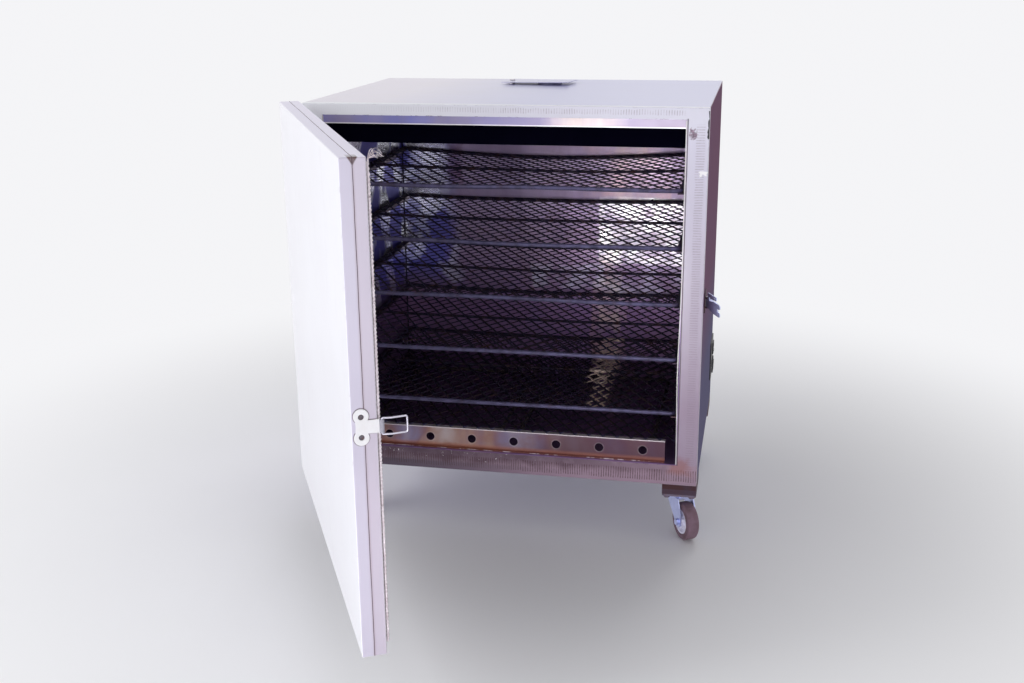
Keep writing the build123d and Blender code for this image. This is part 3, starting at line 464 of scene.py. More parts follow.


# the lower rail: a reddish tone, darker towards the left and along its lower edge
def darkenedRail(tree, color, width, height):
    rail = ramp(tree, height, openingLowZ + 0.002, openingLowZ)
    color = coat(tree, color, rail, frameTones["rail"], 0.25)
    leftRail = times(tree, rail, ramp(tree, width, -0.12, 0.16, 0.72, 0.0))
    color = coat(tree, color, leftRail, frameTones["leftRail"])
    under = ramp(tree, height, baseZ + 0.020, baseZ + 0.014)
    leftUnder = times(tree, under, ramp(tree, width, -0.22, 0.06, 0.85, 0.15))
    return coat(tree, color, leftUnder, frameTones["underRail"])


def frameDamage(tree, color):
    color = coat(tree, color, frameMark(tree, "rustCorner"), frameTones["rustCorner"], 0.62)
    spotted = effect(tree, "blotches", Scale=260.0, Cover=0.55, Softness=0.1, Seed=25.0)
    scorch = mixColor(tree, spotted, frameTones["scorch"], frameTones["scorchSpots"])
    color = coat(tree, color, frameMark(tree, "scorch"), scorch, 0.9)
    color = coat(tree, color, frameMark(tree, "chip"), frameTones["chip"])
    # painted shade in the gap beside the mouth's right jamb lip
    color = coat(tree, color, frameMark(tree, "jambGapShade"), frameTones["jambGapShade"], 0.85)
    worn = effect(tree, "edgeWear", Radius=0.002, Amount=5.0, Scale=95.0, Cover=0.57)
    color = coat(tree, color, worn, frameTones["worn"])
    nick = frameMark(tree, "nick")
    return coat(tree, color, nick, frameTones["nick"]), strongest(tree, worn, nick)


def framePaint():
    material, tree = startMaterial("framePaint")
    place = framePlace(tree)
    width, height = place[0], place[2]
    color = paintBase(tree, paint["fresh"], seed=2.0)
    # painted light on the top rail, strongest at the left
    litTopRail = times(tree, ramp(tree, width, -0.30, 0.10, 1.0, 0.3), ramp(tree, height, 0.78, 0.82))
    color = coat(tree, color, litTopRail, frameTones["litTopRail"])
    cloud = blotches(tree, 1.0, 0.8, Scale=9.0, Cover=0.7, Softness=0.25, Seed=19.0)
    pinkLow = times(tree, ramp(tree, height, 0.28, 0.81, 0.95, 0.05), cloud)
    color = coat(tree, color, pinkLow, frameTones["pinkLow"])
    grey = greyImprint(tree, width, height)
    color = coat(tree, color, grey, frameTones["imprint"], 0.52)
    color = darkenedRail(tree, color, width, height)

    sill = frameMark(tree, "sill")
    broken = effect(tree, "blotches", Scale=24.0, Cover=0.66, Softness=0.2, Seed=21.0)
    stain = times(tree, sill, broken)
    stainShare = times(tree, stain, ramp(tree, width, 0.08, 0.26, 0.9, 0.45))
    color = coat(tree, color, stainShare, frameTones["sill"])
    lower = imprintMask(tree, width, height, imprint["lower"], 12.0, 0.60)
    color = coat(tree, color, lower, frameTones["lowerImprint"], 0.92)
    crumbs = effect(tree, "blotches", Scale=230.0, Cover=0.345, Softness=0.012, Seed=23.0)
    crumbs = times(tree, crumbs, ramp(tree, width, -0.05, 0.10, 1.0, 0.15))
    color = coat(tree, color, times(tree, crumbs, sill), frameTones["crumbs"])

    color, worn = frameDamage(tree, color)
    relief = minus(tree, paintRelief(tree), times(tree, strongest(tree, grey, lower), 1.2))
    rough = mixValue(tree, strongest(tree, stain, worn, grey), paint["roughness"], 0.6)
    return finishMaterial(material, relief, 0.22, 0.0005, Base_Color=color, Roughness=rough,
                          Coat_Weight=0.15, Coat_Roughness=0.15)


# the painted strap that carries the wire latch

strap = {
    "middle": door["innerY"] - 0.023,
    "lobe": 0.011,
    "lobeOffset": 0.016,
    "waist": 0.0077,
    "tongue": 0.0098,
    "knuckle": (halfWidth + 0.004, door["innerY"] + 0.0055),
    "knuckleRadius": 0.0035,
    "knuckleHalf": 0.0102,
    "screwOffset": 0.015,
    "screwRadius": 0.0038,
    "screwSunk": 0.0012,
    "hole": 0.0041,
    "thickness": 0.0019,
    "rounding": 0.0005,
}


def strapDistance(tree, place):
    # how far a point of the free edge lies outside the strap, for the painted shadow round it
    along = minus(tree, place[1], strap["middle"])
    up = maths(tree, "ABSOLUTE", minus(tree, place[2], latchZ))
    offset = addNode(tree, "CombineXYZ", {0: along, 1: minus(tree, up, strap["lobeOffset"])}).outputs[0]
    fromLobe = minus(tree, distance(tree, offset), strap["lobe"])
    fromTongue = maths(tree, "MAXIMUM", minus(tree, up, strap["tongue"]), times(tree, along, -1.0))
    return maths(tree, "MINIMUM", fromLobe, fromTongue)


doorTones = {
    "fresh": (0.86, 0.86, 0.91),
    # painted shade on the door's edges, and a painted shadow round the strap
    "outerEdgeShade": (0.56, 0.51, 0.62),
    "innerEdgeShade": (0.53, 0.46, 0.55),
    "topEdgeShade": (0.79, 0.74, 0.93),
    "strapShadow": (0.085, 0.045, 0.06),
    "seamGrime": (0.30, 0.20, 0.22),
    "notch": (0.070, 0.022, 0.026),
    "notchRust": (0.20, 0.075, 0.06),
    "heated": (0.42, 0.28, 0.18),
}


def cornerNotch(tree, place, offSeam):
    # the rusted notch where the pans' corners meet at the top of the free edge
    below = minus(tree, door["highZ"], place[2])
    notch = fade(tree, plus(tree, times(tree, offSeam, 1.6), below), 0.0095, 0.0125)
    notch = times(tree, notch, blotches(tree, 1.0, 0.82, Scale=120.0, Cover=0.55, Softness=0.1, Seed=31.0))
    return times(tree, notch, ramp(tree, place[0], halfWidth - 0.03, halfWidth - 0.006))


def doorPaint():
    material, tree = startMaterial("doorPaint")
    color = paintBase(tree, doorTones["fresh"], seed=4.0)
    worn = effect(tree, "edgeWear", Radius=0.0028, Amount=5.0, Scale=60.0, Cover=0.57)
    color = coat(tree, color, worn, paint["rust"])
    place = closedDoorPlace(tree)
    offSeam = maths(tree, "ABSOLUTE", minus(tree, place[1], door["seamY"]))
    # painted shade on the door's edges: the free edge's outer and inner halves in two shaded tones, the top edge
    # in another
    freeEdge = ramp(tree, place[0], halfWidth - 0.0006, halfWidth - 0.0002)
    innerHalf = ramp(tree, place[1], door["seamY"], door["seamY"] + 0.0002)
    edgeShade = mixColor(tree, innerHalf, doorTones["outerEdgeShade"], doorTones["innerEdgeShade"])
    color = coat(tree, color, freeEdge, edgeShade, 0.9)
    topEdgeShade = ramp(tree, place[2], door["highZ"] - 0.0006, door["highZ"] - 0.0002)
    color = coat(tree, color, topEdgeShade, doorTones["topEdgeShade"])
    # painted shadow in a thin ring round the strap
    shadow = times(tree, ramp(tree, strapDistance(tree, place), 0.0004, 0.0016, 0.85, 0.0), freeEdge)
    color = coat(tree, color, shadow, doorTones["strapShadow"])
    grime = times(tree, ramp(tree, offSeam, 0.0, 0.003, 0.45, 0.0), freeEdge)
    color = coat(tree, color, grime, doorTones["seamGrime"])
    notch = cornerNotch(tree, place, offSeam)
    color = coat(tree, color, notch, doorTones["notch"])
    rustSpot = effect(tree, "blotches", Scale=210.0, Cover=0.36, Softness=0.05, Seed=35.0)
    color = coat(tree, color, times(tree, notch, rustSpot), doorTones["notchRust"])
    innerFace = ramp(tree, place[1], door["innerY"] - 0.0006, door["innerY"] - 0.0002)
    heated = blotches(tree, 0.5, Scale=9.0, Cover=0.55, Softness=0.2, Seed=33.0)
    color = coat(tree, color, times(tree, innerFace, heated), doorTones["heated"])
    return finishMaterial(material, paintRelief(tree), 0.16, 0.0004, Base_Color=color,
                          Roughness=mixValue(tree, worn, 0.32, 0.6), Coat_Weight=0.3, Coat_Roughness=0.1)


# steel of the chamber, tarnished by heat, with painted reflections, highlights and warm light in patches

chamber = {
    "dark": (0.24, 0.145, 0.32),
    "brown": (0.80, 0.67, 0.94),
    "blue": (0.15, 0.15, 0.56),
    # painted reflection on the left wall
    "bright": (0.95, 0.95, 1.0),
    "red": (0.16, 0.02, 0.06),
    "middle": (0.13, 0.09, 0.15),
    # painted reflections on the back wall, then painted highlight streaks and painted warm light
    "under": (0.76, 0.82, 1.0),
    "reflectedWindow": (1.0, 0.99, 0.98),
    "highlightStreak": (1.0, 0.84, 0.66),
    "glow": (1.0, 0.62, 0.42),
    # painted shade in the back left corner
    "corner": (0.01, 0.01, 0.02),
}
# patches on the back wall: left, low, right and high edge, then the edge's softness, raggedness and scale
backPatches = {
    "red": (-0.235, 0.60, -0.195, 0.86, 0.012, 0.03, 30.0),
    "middle": (-0.08, 0.40, 0.10, 0.56, 0.03, 0.05, 14.0),
    # painted warm light
    "glow": (0.08, 0.585, 0.285, 0.86, 0.028, 0.03, 14.0),
    # painted highlight streaks
    "upperHighlightStreak": (0.150, 0.575, 0.228, 0.86, 0.026, 0.02, 20.0),
    "lowerHighlightStreak": (0.118, 0.05, 0.172, 0.47, 0.018, 0.022, 26.0),
    # painted warm light low down
    "lowWarmLight": (0.10, 0.05, 0.19, 0.40, 0.02, 0.03, 16.0),
    # painted reflections, the last of a bright window
    "reflectionUnderRight": (0.11, 0.36, 0.34, 0.50, 0.03, 0.05, 14.0),
    "reflectionUnderMiddle": (-0.04, 0.375, 0.14, 0.435, 0.012, 0.03, 20.0),
    "reflectedWindow": (0.118, 0.436, 0.36, 0.592, 0.006, 0.012, 30.0),
}


def backPatch(tree, name):
    left, low, right, high, softness, ragged, scale = backPatches[name]
    return effect(tree, "boxMask", Low=(left, chamberBackY - 0.003, low), High=(right, 1, high),
                  Softness=softness, Ragged=ragged, Scale=scale)


def leftWall(tree, color):
    # the blue left of the chamber, broken by bright patches of painted reflection
    part = effect(tree, "boxMask", Low=(-0.40, -0.20, 0.36), High=(-0.20, 1, 0.84), Softness=0.05,
                  Ragged=0.10, Scale=10.0)
    broken = effect(tree, "blotches", Scale=13.0, Cover=0.51, Softness=0.04, Stretch=(1, 1, 0.7), Seed=43.0,
                    Fineness=0.4)
    color = coat(tree, color, part, chamber["blue"], 0.9)
    bright = times(tree, part, broken)
    return coat(tree, color, bright, chamber["bright"]), bright


def backWall(tree, color):
    # painted warm light, painted highlight streaks and the painted reflection of a bright window at the right of
    # the back wall besides the colour it gives the masks of the shiny painted reflections, highlights and warm
    # light, and one of the painted highlight and warm light on the dull steel
    color = coat(tree, color, backPatch(tree, "red"), chamber["red"], 0.8)
    color = coat(tree, color, backPatch(tree, "middle"), chamber["middle"], 0.8)
    # painted warm light on the upper right of the back wall
    glow = backPatch(tree, "glow")
    color = coat(tree, color, glow, chamber["glow"])
    # painted highlight streaks, pale orange
    upperHighlightStreak = backPatch(tree, "upperHighlightStreak")
    lowerHighlightStreak = backPatch(tree, "lowerHighlightStreak")
    broken = effect(tree, "blotches", Scale=20.0, Cover=0.68, Softness=0.12, Stretch=(1, 1, 0.4), Seed=45.0)
    highlightStreak = times(tree, strongest(tree, upperHighlightStreak, lowerHighlightStreak), broken)
    # painted warm light low down
    lowWarmLight = times(tree, backPatch(tree, "lowWarmLight"), 0.8)
    color = coat(tree, color, lowWarmLight, chamber["glow"])
    # painted reflection, pale blue, under the window's
    under = strongest(tree, backPatch(tree, "reflectionUnderRight"), backPatch(tree, "reflectionUnderMiddle"))
    under = times(tree, under, effect(tree, "blotches", Scale=20.0, Cover=0.62, Softness=0.1, Seed=47.0))
    color = coat(tree, color, under, chamber["under"])
    # painted reflection of a bright window
    reflectedWindow = backPatch(tree, "reflectedWindow")
    color = coat(tree, color, reflectedWindow, chamber["reflectedWindow"])
    color = coat(tree, color, highlightStreak, chamber["highlightStreak"])
    return color, (reflectedWindow, under, glow, upperHighlightStreak), strongest(tree, lowerHighlightStreak, lowWarmLight)


def chamberSteel():
    material, tree = startMaterial("chamberSteel")
    cloudy = {"Vector": objectPlace(tree), "Scale": 5.0, "Detail": 5.0, "Distortion": 0.6}
    cloud = addNode(tree, "TexNoise", cloudy).outputs[0]
    tint = effect(tree, "heatTint", Level=ramp(tree, cloud, 0.25, 0.75, 0.35, 0.8))
    height = ramp(tree, framePlace(tree)[2], 0.33, 0.66)
    color = mixColor(tree, 0.2, mixColor(tree, height, chamber["dark"], chamber["brown"]), tint)
    streaks = effect(tree, "blotches", Scale=14.0, Cover=0.5, Softness=0.12, Stretch=(1, 1, 0.12), Seed=41.0)
    color = coat(tree, color, streaks, chamber["dark"], 0.35)
    color, leftBright = leftWall(tree, color)
    color, reflectionPatches, diffuseLightPatches = backWall(tree, color)
    # painted shade in the back left corner
    corner = effect(tree, "boxMask", Low=(-0.36, chamberBackY - 0.003, 0), High=(-openingHalf + 0.0045, 1, 1),
                    Softness=0.001, Ragged=0.0, Scale=10.0)
    color = coat(tree, color, corner, chamber["corner"])
    reflectionPatches = strongest(tree, *reflectionPatches, leftBright)
    rolled = effect(tree, "grain", Stretch=(1, 1, 0.03), Scale=260.0)
    relief = plus(tree, times(tree, rolled, 0.06), effect(tree, "grain", Scale=9.0))
    relief = times(tree, relief, ramp(tree, reflectionPatches, 0.0, 1.0, 1.0, 0.15))
    rough = mixValue(tree, reflectionPatches, ramp(tree, cloud, 0.3, 0.7, 0.42, 0.52), 0.24)
    metal = mixValue(tree, diffuseLightPatches, 0.75, 0.12)
    return finishMaterial(material, relief, 0.25, 0.003, Base_Color=color, Metallic=metal, Roughness=rough)


header = {
    "left": (0.27, 0.28, 0.66),
    "right": (0.44, 0.38, 0.50),
    "stain": (0.47, 0.40, 0.46),
    # painted warm highlights and a painted highlight on the lower edge
    "warmHighlight": (0.79, 0.67, 0.65),
    "lowerEdgeHighlight": (0.98, 0.97, 0.98),
}


def headerSteel():
    material, tree = startMaterial("headerSteel")
    place = framePlace(tree)
    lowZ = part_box("header_strip")[0].z
    side = mixColor(tree, ramp(tree, place[0], -0.20, 0.20), header["left"], header["right"])
    stain = effect(tree, "blotches", Scale=7.0, Cover=0.5, Softness=0.12, Stretch=(1, 1, 0.3), Seed=51.0)
    color = coat(tree, side, stain, header["stain"], 0.6)
    # painted warm highlights
    warmHighlight = effect(tree, "boxMask", Low=(0.08, -1, 0), High=(0.24, 1, 2), Softness=0.05, Ragged=0.05,
                  Scale=20.0)
    streak = blotches(tree, 1.0, 0.65, Scale=26.0, Cover=0.55, Softness=0.1, Stretch=(1, 1, 0.1), Seed=52.0)
    color = coat(tree, color, times(tree, warmHighlight, streak), header["warmHighlight"])
    # painted highlight along the rolled lower edge
    color = coat(tree, color, fade(tree, place[2], lowZ + 0.0012, lowZ + 0.0024), header["lowerEdgeHighlight"])
    lines = effect(tree, "grain", Stretch=(1, 1, 0.02), Scale=700.0)
    rough = ramp(tree, effect(tree, "grain", Scale=30.0), 0.3, 0.7, 0.36, 0.52)
    return finishMaterial(material, lines, 0.3, 0.0003, Base_Color=color, Metallic=0.9, Roughness=rough)


def blackPaintAndShade():
    # black paint, made near-black and sheenless so that it also paints the shade under the chamber's ceiling
    material, tree = startMaterial("blackPaintAndShade")
    soot = effect(tree, "blotches", Scale=12.0, Cover=0.5, Softness=0.2, Seed=55.0)
    color = mixColor(tree, soot, (0.0006, 0.0006, 0.004), (0.0015, 0.0012, 0.006))
    relief = effect(tree, "grain", Scale=180.0)
    return finishMaterial(material, relief, 0.25, 0.0005, Base_Color=color, Roughness=0.9,
                          Specular_IOR_Level=0.01)


# browned steel of the shelves, paler along the front rods, with painted warm light low down and a painted
# highlight on one rod

shelfTones = {
    "steel": (0.024, 0.020, 0.046),
    "rust": (0.075, 0.036, 0.032),
    "scale": (0.12, 0.09, 0.11),
    "frontRod": (0.105, 0.095, 0.19),
    # painted warm light low down, and a painted highlight on one rod
    "lowWarmLight": (1.0, 0.80, 0.68),
    "rodHighlight": (0.62, 0.62, 0.80),
}


def shelfSteel():
    material, tree = startMaterial("shelfSteel")
    rust = effect(tree, "blotches", Scale=38.0, Cover=0.42, Softness=0.1, Seed=61.0)
    color = mixColor(tree, rust, shelfTones["steel"], shelfTones["rust"])
    scale = effect(tree, "blotches", Scale=240.0, Cover=0.36, Softness=0.05, Seed=62.0)
    color = coat(tree, color, scale, shelfTones["scale"], 0.4)
    rod = fade(tree, framePlace(tree)[1], frontY + 0.0235, frontY + 0.0255)
    worn = ramp(tree, effect(tree, "grain", Scale=60.0), 0.35, 0.6, 0.35, 1.0)
    color = coat(tree, color, times(tree, rod, worn), shelfTones["frontRod"])
    # painted warm light on the lowest nets
    lowWarmLight = effect(tree, "boxMask", Low=(0.132, -0.12, 0.19), High=(0.182, 0.23, 0.27), Softness=0.010,
                     Ragged=0.03, Scale=24.0)
    color = coat(tree, color, lowWarmLight, shelfTones["lowWarmLight"])
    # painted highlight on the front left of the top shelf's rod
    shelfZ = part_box("shelf_1")[0].z
    rodHighlight = effect(tree, "boxMask", Low=(-0.34, frontY, shelfZ - 0.01), High=(-0.322, -0.10, shelfZ + 0.02),
                    Softness=0.004, Ragged=0.006, Scale=60.0)
    color = coat(tree, color, rodHighlight, shelfTones["rodHighlight"])
    metal = mixValue(tree, lowWarmLight, 0.55, 0.05)
    rough = mixValue(tree, rod, 0.60, 0.46)
    return finishMaterial(material, effect(tree, "grain", Scale=520.0), 0.5, 0.0004, Base_Color=color,
                          Metallic=metal, Roughness=rough)


def runnerSteel():
    material, tree = startMaterial("runnerSteel")
    level = effect(tree, "grain", Scale=12.0)
    tint = effect(tree, "heatTint", Level=ramp(tree, level, 0.3, 0.7, 0.4, 0.8))
    color = mixColor(tree, 0.7, tint, (0.05, 0.04, 0.06))
    relief = effect(tree, "grain", Stretch=(1, 0.03, 1), Scale=300.0)
    return finishMaterial(material, relief, 0.2, 0.0004, Base_Color=color, Metallic=0.85, Roughness=0.42)


# heat-tinted guard over the elements, with painted highlights on its hole rims, upper edge and lip, partly worn
# steel

guard = {
    "lastHole": 0.043,  # from the strip's right end
    "holePitch": 0.0852,
    "holeRise": 0.021,
    "holeRadius": 0.0085,
    "tint": (0.26, 0.19, 0.22),
    "rust": (0.28, 0.13, 0.09),
    "lowRust": (0.50, 0.20, 0.10),
    "soot": (0.085, 0.040, 0.065),
    "bottom": (0.34, 0.14, 0.10),
    # painted highlights, partly worn steel
    "bright": (0.90, 0.84, 0.86),
}


def holeRims(tree, place, low, high):
    # mask of the rims round the row of holes
    steps = maths(tree, "DIVIDE", minus(tree, place[0], high.x - guard["lastHole"]), guard["holePitch"])
    sideways = times(tree, minus(tree, steps, maths(tree, "ROUND", steps)), guard["holePitch"])
    upward = minus(tree, place[2], low.z + guard["holeRise"])
    radius = distance(tree, addNode(tree, "CombineXYZ", {0: sideways, 1: upward}).outputs[0])
    return fade(tree, radius, guard["holeRadius"] + 0.0006, guard["holeRadius"] + 0.0022)


def guardSteel():
    material, tree = startMaterial("guardSteel")
    low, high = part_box("heater_guard_strip")
    coordinates = objectPlace(tree)
    place = split(tree, coordinates)
    drawn = vectorMaths(tree, "MULTIPLY", coordinates, (1, 1, 0.35))
    patchy = {"Vector": drawn, "Scale": 11.0, "Detail": 3.0, "Distortion": 0.4}
    patches = addNode(tree, "TexNoise", patchy).outputs[0]
    tint = effect(tree, "heatTint", Level=ramp(tree, patches, 0.28, 0.72, 0.05, 1.0))
    color = mixColor(tree, 0.45, tint, guard["tint"])
    rust = effect(tree, "blotches", Scale=46.0, Cover=0.44, Softness=0.1, Stretch=(0.6, 1, 1), Seed=71.0)
    color = coat(tree, color, rust, guard["rust"], 0.45)
    color = coat(tree, color, fade(tree, place[2], low.z + 0.002, low.z + 0.012), guard["lowRust"], 0.55)
    color = coat(tree, color, ramp(tree, place[0], -0.05, 0.12, 0.0, 0.88), guard["soot"])
    color = coat(tree, color, ramp(tree, place[2], low.z + 0.005, low.z + 0.010, 0.60, 0.0), guard["bottom"])
    # painted highlights, partly worn steel, on the hole rims, along the upper edge and in spots on the lip
    rim = times(tree, holeRims(tree, place, low, high), 0.12)
    upperEdge = times(tree, ramp(tree, place[2], high.z - 0.0022, high.z - 0.0010), 0.7)
    spots = effect(tree, "blotches", Scale=60.0, Cover=0.45, Softness=0.06, Seed=73.0)
    lip = times(tree, fade(tree, place[1], low.y + 0.0004, low.y + 0.0012), spots)
    color = coat(tree, color, strongest(tree, rim, upperEdge, lip), guard["bright"])
    lines = effect(tree, "grain", Stretch=(0.04, 1, 1), Scale=480.0)
    rough = mixValue(tree, rust, 0.30, 0.48)
    return finishMaterial(material, lines, 0.25, 0.0004, Base_Color=color, Metallic=0.75, Roughness=rough)


def woolFill():
    material, tree = startMaterial("woolFill")
    fibres = effect(tree, "grain", Stretch=(1, 1, 5), Scale=160.0, Detail=6.0)
    color = mixColor(tree, fibres, (0.52, 0.46, 0.28), (0.76, 0.70, 0.50))
    return finishMaterial(material, fibres, 0.8, 0.002, Base_Color=color, Roughness=0.95)


def strapPaint():
    material, tree = startMaterial("strapPaint")
    lumps = effect(tree, "grain", Scale=240.0)
    worn = effect(tree, "edgeWear", Radius=0.0008, Amount=4.0, Scale=160.0, Cover=0.56)
    yellowed = effect(tree, "blotches", Scale=60.0, Cover=0.45, Softness=0.2, Seed=37.0)
    color = coat(tree, (0.84, 0.83, 0.84), yellowed, (0.70, 0.67, 0.64), 0.5)
    color = coat(tree, color, worn, (0.26, 0.19, 0.19), 0.8)
    specks = effect(tree, "blotches", Scale=330.0, Cover=0.30, Softness=0.02, Seed=38.0)
    color = coat(tree, color, specks, (0.36, 0.32, 0.34), 0.6)
    place = closedDoorPlace(tree)
    rolled = ramp(tree, place[0], halfWidth + 0.0022, halfWidth + 0.0040)
    color = coat(tree, color, rolled, (0.22, 0.21, 0.27), 0.85)
    return finishMaterial(material, lumps, 0.5, 0.0006, Base_Color=color, Roughness=0.36, Coat_Weight=0.3,
                          Coat_Roughness=0.15)


def trimSteel():
    material, tree = startMaterial("trimSteel")
    stain = effect(tree, "blotches", Scale=26.0, Cover=0.35, Softness=0.1, Stretch=(1, 1, 0.3), Seed=57.0)
    color = coat(tree, (0.60, 0.58, 0.57), stain, (0.30, 0.22, 0.24), 0.7)
    return finishMaterial(material, effect(tree, "grain", Scale=500.0), 0.2, 0.0003, Base_Color=color,
                          Metallic=0.5, Roughness=0.5)


def braidedGlass():
    material, tree = startMaterial("braidedGlass")
    place = closedDoorPlace(tree)
    soil = effect(tree, "blotches", Scale=60.0, Cover=0.42, Softness=0.14, Seed=81.0)
    color = mixColor(tree, soil, (0.88, 0.80, 0.84), (0.58, 0.47, 0.50))
    # darker where the braid meets the pan: dirt and painted shadow in the gap
    baseDirtAndShade = fade(tree, place[1], door["innerY"] + 0.0009, door["innerY"] + 0.0016)
    color = coat(tree, color, baseDirtAndShade, (0.060, 0.028, 0.028))
    threads = effect(tree, "grain", Scale=1500.0)
    scorched = effect(tree, "blotches", Scale=150.0, Cover=0.36, Softness=0.06, Seed=83.0)
    color = coat(tree, color, scorched, (0.12, 0.06, 0.06), 0.6)
    return finishMaterial(material, threads, 0.6, 0.0004, Base_Color=color, Roughness=0.9, Sheen_Weight=0.2)


def sheathSteel():
    material, tree = startMaterial("sheathSteel")
    scale = effect(tree, "blotches", Scale=90.0, Cover=0.5, Softness=0.15, Seed=85.0)
    color = mixColor(tree, scale, (0.07, 0.06, 0.06), (0.16, 0.13, 0.12))
    return finishMaterial(material, effect(tree, "grain", Scale=600.0), 0.4, 0.0003, Base_Color=color,
                          Metallic=0.6, Roughness=0.6)


def glazedCeramic():
    material, tree = startMaterial("glazedCeramic")
    soil = effect(tree, "blotches", Scale=40.0, Cover=0.4, Softness=0.15, Seed=87.0)
    color = coat(tree, (0.82, 0.79, 0.72), soil, (0.48, 0.40, 0.32), 0.4)
    return finishMaterial(material, effect(tree, "grain", Scale=300.0), 0.2, 0.0004, Base_Color=color,
                          Roughness=0.45)


def mouldedPlastic(name, color, roughness, seed):
    material, tree = startMaterial(name)
    dust = effect(tree, "dust", Amount=0.3, Scale=60.0)
    rubbed = effect(tree, "edgeWear", Radius=0.0012, Amount=3.0, Scale=120.0, Cover=0.5)
    scuffs = effect(tree, "blotches", Scale=55.0, Cover=0.4, Softness=0.12, Seed=seed)
    shade = coat(tree, color, strongest(tree, dust, times(tree, rubbed, 0.5)), (0.30, 0.28, 0.29))
    return finishMaterial(material, effect(tree, "grain", Scale=1100.0), 0.35, 0.0002, Base_Color=shade,
                          Roughness=ramp(tree, scuffs, 0.0, 1.0, roughness, roughness + 0.15))


def platedSteel(name, color, roughness, seed, rustCover=0.3, rustShare=0.8):
    material, tree = startMaterial(name)
    bloom = effect(tree, "blotches", Scale=45.0, Cover=0.45, Softness=0.18, Seed=seed)
    shade = coat(tree, color, bloom, tuple(0.62 * part for part in color), 0.35)
    rust = effect(tree, "blotches", Scale=130.0, Cover=rustCover, Softness=0.05, Seed=seed + 1)
    edge = effect(tree, "edgeWear", Radius=0.0015, Amount=4.0, Scale=140.0, Cover=0.55)
    rust = times(tree, strongest(tree, rust, edge), rustShare)
    shade = coat(tree, shade, rust, (0.17, 0.075, 0.045))
    metal = mixValue(tree, rust, 0.95, 0.1)
    rough = strongest(tree, ramp(tree, bloom, 0.0, 1.0, roughness, roughness + 0.14),
                      times(tree, rust, 0.8))
    relief = plus(tree, effect(tree, "grain", Scale=420.0), times(tree, rust, 1.5))
    return finishMaterial(material, relief, 0.25, 0.0003, Base_Color=shade, Metallic=metal, Roughness=rough)


def bracketSteel():
    material, tree = startMaterial("bracketSteel")
    rust = effect(tree, "blotches", Scale=30.0, Cover=0.55, Softness=0.12, Seed=91.0)
    color = mixColor(tree, rust, (0.050, 0.028, 0.050), (0.052, 0.014, 0.018))
    pits = effect(tree, "blotches", Scale=210.0, Cover=0.38, Softness=0.05, Seed=92.0)
    color = coat(tree, color, pits, (0.045, 0.02, 0.02), 0.6)
    bracketLow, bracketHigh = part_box("caster_brackets")
    halfway = (bracketLow.z + bracketHigh.z) / 2
    rubbed = ramp(tree, framePlace(tree)[2], halfway, halfway - 0.001, 0.0, 0.5)
    color = coat(tree, color, rubbed, (0.070, 0.045, 0.080))
    return finishMaterial(material, effect(tree, "grain", Scale=350.0), 0.6, 0.0006, Base_Color=color,
                          Metallic=0.2, Roughness=0.68)


def castRubber():
    material, tree = startMaterial("castRubber")
    dirt = effect(tree, "blotches", Scale=42.0, Cover=0.5, Softness=0.18, Seed=95.0)
    color = mixColor(tree, dirt, (0.24, 0.148, 0.208), (0.145, 0.082, 0.100))
    grit = effect(tree, "blotches", Scale=420.0, Cover=0.33, Softness=0.05, Seed=96.0)
    color = coat(tree, color, grit, (0.42, 0.34, 0.33), 0.5)
    return finishMaterial(material, effect(tree, "grain", Scale=700.0), 0.45, 0.0004, Base_Color=color,
                          Roughness=0.72)


def markPaint():
    material, tree = startMaterial("markPaint")
    rubbed = effect(tree, "blotches", Scale=300.0, Cover=0.35, Softness=0.1, Seed=97.0)
    color = coat(tree, (0.82, 0.82, 0.80), rubbed, (0.35, 0.35, 0.35), 0.5)
    return finishMaterial(material, Base_Color=color, Roughness=0.5)


materials = {
    "sheetPaint": sheetPaint("sheetPaint", 0.0022),
    "flapPaint": sheetPaint("flapPaint", 0.0004),
    "dulledPaint": sheetPaint("dulledPaint", 0.0022, Roughness=0.8, Specular_IOR_Level=0.06),
    "framePaint": framePaint(),
    "doorPaint": doorPaint(),
    "chamberSteel": chamberSteel(),
    "headerSteel": headerSteel(),
    "blackPaintAndShade": blackPaintAndShade(),
    "shelfSteel": shelfSteel(),
    "runnerSteel": runnerSteel(),
    "guardSteel": guardSteel(),
    "woolFill": woolFill(),
    "braidedGlass": braidedGlass(),
    "sheathSteel": sheathSteel(),
    "glazedCeramic": glazedCeramic(),
    "blackPlastic": mouldedPlastic("blackPlastic", (0.018, 0.018, 0.022), 0.5, 101.0),
    "rockerPlastic": mouldedPlastic("rockerPlastic", (0.02, 0.02, 0.024), 0.22, 102.0),
    "plateEnamel": mouldedPlastic("plateEnamel", (0.024, 0.022, 0.027), 0.35, 103.0),
    "hubPlastic": mouldedPlastic("hubPlastic", (0.88, 0.86, 1.0), 0.42, 104.0),
    "hingeSteel": platedSteel("hingeSteel", (0.62, 0.61, 0.64), 0.32, 111.0),
    "leverZinc": platedSteel("leverZinc", (0.62, 0.66, 0.90), 0.45, 113.0, 0.22),
    "bailWire": platedSteel("bailWire", (0.60, 0.58, 0.66), 0.24, 115.0, 0.22, 0.5),
    "screwZinc": platedSteel("screwZinc", (0.60, 0.57, 0.60), 0.34, 117.0, 0.38),
    "sunkScrew": platedSteel("sunkScrew", (0.20, 0.19, 0.21), 0.5, 118.0, 0.45),
    "casterZinc": platedSteel("casterZinc", (0.54, 0.58, 0.88), 0.32, 119.0, 0.22),
    "dulledZinc": platedSteel("dulledZinc", (0.17, 0.14, 0.19), 0.45, 121.0, 0.40),
    "bracketSteel": bracketSteel(),
    "castRubber": castRubber(),
    "markPaint": markPaint(),
    "strapPaint": strapPaint(),
    "trimSteel": trimSteel(),
}
